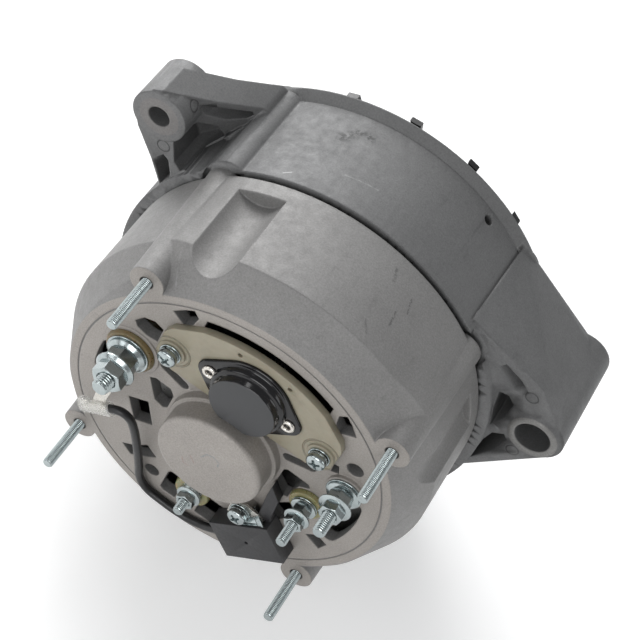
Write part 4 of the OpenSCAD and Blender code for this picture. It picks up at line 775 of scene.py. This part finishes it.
def ovalTube(path, halfAcross, halfUp, across, power=2.0, sides=40, inner=None):
    # a superellipse with given half sizes carried along a straight path; an inner row set makes it a hollow tube
    path = np.asarray(path, float)
    tangent = path[-1] - path[0]
    tangent = tangent / np.linalg.norm(tangent)
    across = np.asarray(across, float)
    upward = np.cross(across, tangent)
    angle = np.linspace(0, 2 * np.pi, sides, endpoint=False)
    c, s = np.cos(angle), np.sin(angle)
    x, y = np.sign(c) * np.abs(c) ** (2 / power), np.sign(s) * np.abs(s) ** (2 / power)
    a = np.broadcast_to(np.asarray(halfAcross, float), (len(path),))[:, None, None]
    b = np.broadcast_to(np.asarray(halfUp, float), (len(path),))[:, None, None]
    rings = path[:, None] + a * x[None, :, None] * across + b * y[None, :, None] * upward
    if inner is None:
        return closedTube(rings, path)
    a, b = a[::-1] - inner, b[::-1] - inner
    inside = path[::-1, None] + a * x[None, :, None] * across + b * y[None, :, None] * upward
    rings = np.concatenate([rings, inside, rings[:1]])
    return rings * mm, gridFaces(len(rings), sides)


def makeTerminal():
    t = terminalSetup
    turn = math.radians(t["turn"])
    along = np.array([math.cos(turn), 0, math.sin(turn)])
    across = np.array([-math.sin(turn), 0, math.cos(turn)])
    middle = np.array(t["middle"])
    u = np.linspace(-1, 1, 60)
    barrel = middle + u[:, None] * along * t["barrelLength"] / 2
    crimp = sum(depth * np.exp(-((u - at) / width) ** 2) for depth, at, width in t["crimps"])
    ends = 1 - t["endDrop"] * (1 - np.sqrt(np.clip((1 - np.abs(u)) / t["endReach"], 0, 1)))
    wide, high = t["barrelHalf"]
    parts = [ovalTube(barrel, wide * (1 + crimp * t["spread"]) * ends, high * (1 - crimp) * ends, across, 2.6)]
    parts.append(flatWasher(t["tongueY"] - t["sheet"] / 2, t["sheet"], t["eye"], t["hole"], t["studAt"], sides=64))
    v = np.linspace(0, 1, 24)[:, None]
    first, last = np.array(t["strap"])
    half = t["strapHalf"] - t["strapTaper"] * v[:, 0] ** 2
    thick = t["strapThick"] + t["strapRise"] * np.clip(v[:, 0] - t["riseFrom"], 0, 1)
    parts.append(ovalTube(first + v * (last - first), half, thick, (1, 0, 0), 5))
    makePiece("leadTerminal", parts, "tinned_metal", ("lead_terminal",), 40)
    w = np.linspace(-1, 1, 40)
    sleeve = middle + w[:, None] * along * t["sleeveLength"] / 2
    mouth = np.clip((np.abs(w) - t["mouthFrom"]) / (1 - t["mouthFrom"]), 0, 1)
    flare = 1 - t["mouthDrop"] * mouth ** 2 + t["ripple"] * np.sin(w * t["ripples"])
    wide, high = t["sleeveHalf"]
    tube = ovalTube(sleeve, wide * flare, high * flare, across, 2.3, 48, t["sleeveWall"])
    makePiece("terminalSleeve", [tube], "clear_sleeve", ("terminal_sleeve",), 50)


makeTerminal()
print("terminal made")

# the regulator's cap and its rivets
capSetup = {"centre": 41.5, "flangeY": 153.5, "flangeT": 1.5, "middle": 20, "end": 6, "endX": 19.4,
            "hubBase": 27.6, "hubStep": 25.75, "top": 161.7, "sides": 160,
            "shoulders": [(18.7, 0), (18.2, 0.12), (17.8, 0.45), (17.65, 0.95), (17.55, 2.0), (17.3, 2.5),
                          (16.9, 2.85), (16.3, 3.05), (15.95, 3.2), (15.75, 3.5), (15.6, 4.1)],
            "topEdge": [(15.5, 0.55), (15.42, 0.25), (15.2, 0.06), (14.9, 0)],
            "rivetRim": [(1.9, 0.02), (3.3, 0.02), (3.58, 0.2), (3.6, 0.5), (3.35, 0.95), (2.85, 1.25), (2.3, 1.3),
                         (1.8, 1.12), (1.5, 0.7), (1.4, 0.2), (1.38, -1.5), (0, -1.5)], "rivetBase": 150.4}


def capSurface(c):
    # polar outline of the flange's hull, cut clear of the hub, then shoulders and barrel as radii by height
    angle = np.linspace(0, 2 * np.pi, c["sides"], endpoint=False)
    facing = np.linspace(0, 2 * np.pi, 720, endpoint=False)
    support = np.maximum(c["middle"], np.abs(c["endX"] * np.cos(facing)) + c["end"])
    lean = np.cos(facing[None, :] - angle[:, None])
    hull = np.where(lean > 0.02, support[None, :] / np.maximum(lean, 0.02), 1e3).min(1)

    def clearOf(radius):
        toHub = c["centre"] * np.sin(angle)
        inside = toHub ** 2 - (c["centre"] ** 2 - radius ** 2)
        return np.where((inside > 0) & (toHub < 0), -toHub - np.sqrt(np.maximum(inside, 0)), 1e3)

    outline = np.minimum(hull, clearOf(c["hubBase"]))
    step = clearOf(c["hubStep"])
    y0, y1, top = c["flangeY"], c["flangeY"] + c["flangeT"], c["top"]
    rows = [(np.zeros_like(angle), y0), (outline - 0.2, y0), (outline, y0 + 0.2), (outline, y1 - 0.6),
            (outline - 0.1, y1 - 0.28), (outline - 0.32, y1 - 0.07), (outline - 0.6, y1)]
    barrel = [(r, y1 + h) for r, h in c["shoulders"]] + [(r, top - h) for r, h in c["topEdge"]]
    rows += [(np.minimum(np.minimum(r, outline - 0.6), step), y) for r, y in barrel]
    rows.append((np.zeros_like(angle), top))
    radius, y = (np.array(column) for column in zip(*rows))
    return placed((0, c["centre"]), radius, y[:, None], angle) * mm, gridFaces(len(rows), c["sides"])


def makeRegulator():
    c = capSetup
    makePiece("regulatorCap", [capSurface(c)], "black_cap", ("regulator_cap",), 28)
    # a tubular rivet: rolled rim round an open middle
    base, top = c["rivetBase"], c["flangeY"] + c["flangeT"]
    rim = [(0, base), (1.9, base)] + [(r, top + y) for r, y in c["rivetRim"]]
    makePiece("regulatorRivets", [turnedSurface(rim, (side * c["endX"], c["centre"]), 56) for side in (-1, 1)],
              "rivet_metal", ("regulator_rivets",), 50)


makeRegulator()
print("regulator made")

# the drive end's casting, its adjusting ear made again with both arms and their pockets
earSetup = {"boss": (100.5, 70.5), "bossR": 13.0, "boreR": 5.2, "rear": 82.0, "front": 57.0,
            "lean": 0.91, "depth": 17.5,  # the upper arm's rear face leans forward towards the barrel
            "upper": [(108, 81.5), (103.8, 84.3), (84, 81.0), (67.5, 78.1), (64.5, 74.5), (62, 66),
                      (76, 52), (84.5, 33), (88, 31.5), (97, 44.5), (107, 58)],
            "lower": [(112.8, 66.5), (107.9, 56.8), (96.9, 43.6), (87.2, 29.5), (84.2, 31), (79, 45),
                      (84, 58), (97, 72)],
            "slot": [(88.7, 77.8), (84.6, 77.9), (70.6, 75.4), (69.6, 73.4), (71.4, 70.6), (78.4, 69.0),
                     (85.7, 71.8), (88.9, 75.4)],
            "recess": [(91.0, 62.5), (87.0, 66.5), (80.0, 64.4), (76.0, 58.0), (82.6, 47.0), (86.6, 50.0)],
            "lowSlot": [(94.7, 46.3), (92.5, 50.4), (89.4, 48.9), (86.3, 42.0), (85.4, 36.5), (86.2, 30.7),
                        (88.5, 32.3), (93.2, 40.3)],
            "pocket": 9, "lowPocket": 12, "face": 6,  # depths
            "ridgeAt": (61.2, 66.3), "ridgeR": 9.1, "ridge": (84.2, 30.5),
            "barrelR": 92.5, "barrel": (84.25, 30.6),  # the new ear is cut clear of this
            "clearR": 94.3, "ridgeClearR": 97.2, "clear": (95, 31.9), "clearTurn": (11, 39, 49),
            "clearFar": [(105, 121), (150, 29)]}


def slab(name, outline, rear, front):
    # an outline in X and Z joined between two heights along Y, which may differ from corner to corner
    outline = np.asarray(outline, float)
    count = len(outline)
    rear, front = np.broadcast_to(rear, (count,)), np.broadcast_to(front, (count,))
    points = np.concatenate([np.stack([outline[:, 0], y, outline[:, 1]], -1) for y in (rear, front)]) * mm
    ring = list(range(count))
    sides = [(i, (i + 1) % count, (i + 1) % count + count, i + count) for i in ring]
    mesh = bpy.data.meshes.new(name)
    mesh.from_pydata(points.tolist(), [], [ring[::-1], [i + count for i in ring]] + sides)
    work = bmesh.new()
    work.from_mesh(mesh)
    bmesh.ops.recalc_face_normals(work, faces=work.faces)
    bmesh.ops.triangulate(work, faces=[face for face in work.faces if len(face.verts) > 4])
    work.to_mesh(mesh)
    work.free()
    solid = bpy.data.objects.new(name, mesh)
    scene.collection.objects.link(solid)
    return solid


def disc(at, radius, sides=96):
    angle = np.linspace(0, 2 * np.pi, sides, endpoint=False)
    return np.stack([at[0] + radius * np.cos(angle), at[1] + radius * np.sin(angle)], -1)


def combine(target, tool, operation):
    # an exact boolean, applied at once
    step = target.modifiers.new("combine", "BOOLEAN")
    step.operation = operation
    step.solver = "EXACT"
    step.object = tool
    result = bpy.data.meshes.new_from_object(target.evaluated_get(bpy.context.evaluated_depsgraph_get()))
    target.modifiers.remove(step)
    target.data = result
    bpy.data.objects.remove(tool)


def oldEarOutline(e):
    # the region of the solid's own ear: arcs just inside the barrel's skin, closed well outside the casting
    first, middle, last = e["clearTurn"]
    turn = np.radians(np.concatenate([np.linspace(first, middle, 60), np.linspace(middle + 0.2, last, 20)]))
    inner = np.where(turn < math.radians(middle + 0.1), e["clearR"], e["ridgeClearR"])
    return np.concatenate([np.stack([inner * np.cos(turn), inner * np.sin(turn)], -1), e["clearFar"]])


def makeEar(e):
    # both arms, cut by their pockets, with the boss's face, the bolt ridge and the bore
    def leaning(outline):
        return e["rear"] - 1 - e["lean"] * np.clip(e["boss"][0] - np.asarray(outline, float)[:, 0], 0, None)

    upper, slot, recess = (leaning(e[name]) for name in ("upper", "slot", "recess"))
    boss, rear, front = disc(e["boss"], e["bossR"]), e["rear"], e["front"]
    ear = slab("ear", boss, rear, front)
    combine(ear, slab("upperArm", e["upper"], upper, upper - e["depth"]), "UNION")
    combine(ear, slab("lowerArm", e["lower"], rear - 1, front + 1), "UNION")
    combine(ear, slab("slotCut", e["slot"], slot + 25, slot - e["pocket"]), "DIFFERENCE")
    combine(ear, slab("recessCut", e["recess"], rear + 2, recess - e["pocket"]), "DIFFERENCE")
    combine(ear, slab("lowSlotCut", e["lowSlot"], rear + 2, rear - e["lowPocket"]), "DIFFERENCE")
    combine(ear, slab("earFace", boss, rear, rear - e["face"]), "UNION")
    combine(ear, slab("ridge", disc(e["ridgeAt"], e["ridgeR"]), *e["ridge"]), "UNION")
    combine(ear, slab("boreCut", disc(e["boss"], e["boreR"], 64), rear + 2, front - 2), "DIFFERENCE")
    combine(ear, slab("barrelCut", disc((0, 0), e["barrelR"], 128), *e["barrel"]), "DIFFERENCE")
    return ear


def makeDriveEnd():
    casting = nodeCopy("driveEndCasting", "drive_end_housing")
    scene.collection.objects.link(casting)
    combine(casting, slab("oldEar", oldEarOutline(earSetup), *earSetup["clear"]), "DIFFERENCE")
    combine(casting, makeEar(earSetup), "UNION")
    casting.data.name = casting.name
    casting.data.shade_smooth()
    casting.data.set_sharp_from_angle(angle=math.radians(28))
    casting.modifiers.new("even", "WEIGHTED_NORMAL").keep_sharp = True
    register(casting, "cast_drive", ("drive_end_housing",))


makeDriveEnd()
print("drive end made")

# the fan
fanSetup = {"blades": 18, "phase": 12.5, "sweep": 9.0, "rootT": 1.8, "tipT": 5.6,
            "rootR": 40.0, "frontR": 69.0, "tabR": 86.0, "tipR": 90.2,  # the low edge climbs from frontR to tabR
            "low": 4.6, "tabLow": 15.0, "high": 18.0,
            "discR": 66.0, "disc": (3.0, 5.0), "hubR": 16.0, "bore": 9.07, "hub": (0.0, 9.0)}


def fanBlade(f, turn):
    # a slab whose middle line sweeps back with the radius, its low edge rising past the disc
    u = np.linspace(0, 1, 26)[:, None]
    radius = f["rootR"] + u * (f["tipR"] - f["rootR"])
    angle = math.radians(turn) - np.radians(f["sweep"]) * u ** 1.4
    half = (f["rootT"] + (f["tipT"] - f["rootT"]) * np.clip((u - 0.75) / 0.25, 0, 1) ** 1.5) / 2
    low = f["low"] + np.clip((radius - f["frontR"]) / (f["tabR"] - f["frontR"]), 0, 1) * (f["tabLow"] - f["low"])
    section = np.array([(-1, 0.05), (-1, 0.95), (-0.8, 1), (0.8, 1), (1, 0.95), (1, 0.05), (0.8, 0), (-0.8, 0)])
    side = half * section[None, :, 0]
    y = low + (f["high"] - low) * section[None, :, 1]
    x = radius * np.cos(angle) - side * np.sin(angle)
    z = radius * np.sin(angle) + side * np.cos(angle)
    rings = np.stack([x, y, z], -1)
    return closedTube(rings, rings.mean(1))


def turnedDisc(outer, hole, low, high, soft, sides):
    profile = [(hole, low), (outer - soft, low), (outer, low + soft), (outer, high - soft), (outer - soft, high),
               (hole, high), (hole, low)]
    return turnedSurface(profile, (0, 0), sides)


def makeFan():
    f = fanSetup
    parts = [fanBlade(f, f["phase"] + i * 360 / f["blades"]) for i in range(f["blades"])]
    parts.append(turnedDisc(f["discR"], f["hubR"] - 1, *f["disc"], 0.3, 128))
    parts.append(turnedDisc(f["hubR"], f["bore"], *f["hub"], 0.4, 72))
    makePiece("coolingFan", parts, "fan_black", ("fan",), 35, "rotor")


makeFan()
print("fan made")

# the brush springs, made at one length, though in the real part they shorten as their brush slides
springSetup = {"turns": 6, "steps": 24, "radius": 1.7, "wire": 0.25, "travel": 6.0}


def makeSprings():
    # a helix between the ends of the node's box, its wire carried along it
    for side in ("positive", "negative"):
        node, p = "brush_spring_" + side, springSetup
        low, high = (np.array(corner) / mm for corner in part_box(node))
        u = np.linspace(0, 1, p["turns"] * p["steps"] + 1)
        turn = 2 * np.pi * p["turns"] * u
        middle = (low + high) / 2
        path = np.stack([middle[0] + p["radius"] * np.cos(turn), middle[1] + p["radius"] * np.sin(turn),
                         low[2] + p["wire"] + (high[2] - low[2] - 2 * p["wire"]) * u], -1)
        spring = makePiece("brushSpring_" + side, [tubeSurface(path, p["wire"], 8, (0, 0, 1))],
                           "spring_steel", (node,), 60)
        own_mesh(spring)


makeSprings()
print("springs made")

# the bare steel corner of the capacitor's strap, beside its screw
strapSetup = {"corners": [(-27.4, -26.8), (-36.8, -29.0), (-27.0, -38.2), (-24.4, -35.4)],
              "rear": [154.2, 159.7, 159.7, 154.2], "front": [153.2, 158.7, 158.7, 153.2]}
strap = slab("capacitorStrap", strapSetup["corners"], strapSetup["rear"], strapSetup["front"])
register(strap, "zinc")
print("strap made")

# moulded pieces whose edges are rounded
softEdges = {"regulatorPlate": ("regulator_body", 0.0007, 3, "ivory_plastic"),
             "capacitorCase": ("capacitor_body", 0.0006, 3, "black_plastic"),
             "outputInsulator": ("b_plus_insulator", 0.0004, 2, "amber_plastic"),
             "phaseInsulator": ("w_insulator", 0.0004, 2, "yellow_plastic"),
             "fieldInsulator": ("field_insulator", 0.0004, 2, "yellow_plastic")}
for pieceName, edge in softEdges.items():
    softCopy(pieceName, *edge)
print("edges rounded on", len(softEdges), "pieces")


# floor and light
stageSetup = {"floorDrop": 0.0004, "size": 6.0, "glow": 0.22}
lightSetup = {"fill": 0.36, "sky": (0.97, 0.985, 1.0, 1), "aim": (0, 0.08, 0), "distance": 1.5,
              "boxes": {"keyBox": (315, 22, 1.0, 19.0), "frontBox": (90, 22, 0.8, 7.4), "pivotBox": (180, 22, 0.8, 3.4),
                        "adjusterBox": (45, 22, 0.8, 3.4), "backBox": (300, 55, 0.8, 6.5)}}


def makeFloor():
    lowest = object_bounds()[0][2]
    bpy.ops.mesh.primitive_plane_add(size=stageSetup["size"], location=(0, 0, lowest - stageSetup["floorDrop"]))
    floor = bpy.context.object
    floor.name = "floor"
    material, tree, shader, place = newMaterial("palePaper")
    paper = addRamp(tree, addNoise(tree, place, 3, 2), [(0.3, grey(0.93)), (0.7, grey(0.95))])
    feed(tree, shader, {"Base Color": paper, "Roughness": 0.9, "Emission Color": (1, 1, 1, 1),
                        "Emission Strength": stageSetup["glow"]})
    floor.data.materials.append(material)


def addSoftbox(name, azimuth, elevation, size, energy):
    # a square area light at the given angles round the aim, in degrees, facing it
    a, e = math.radians(azimuth), math.radians(elevation)
    aim = Vector(lightSetup["aim"])
    away = Vector((math.cos(a) * math.cos(e), math.sin(a) * math.cos(e), math.sin(e))) * lightSetup["distance"]
    data = bpy.data.lights.new(name, "AREA")
    data.size = size
    data.energy = energy
    light = bpy.data.objects.new(name, data)
    scene.collection.objects.link(light)
    light.location = aim + away
    light.rotation_mode = "QUATERNION"
    light.rotation_quaternion = (-away).to_track_quat("-Z", "Y")


def makeWorld():
    world = bpy.data.worlds.new("studio")
    world.use_nodes = True
    background = world.node_tree.nodes["Background"]
    background.inputs["Color"].default_value = lightSetup["sky"]
    background.inputs["Strength"].default_value = lightSetup["fill"]
    scene.world = world


makeFloor()
makeWorld()
for boxName, box in lightSetup["boxes"].items():
    addSoftbox(boxName, *box)
scene.view_settings.view_transform = "Standard"
print("stage set")
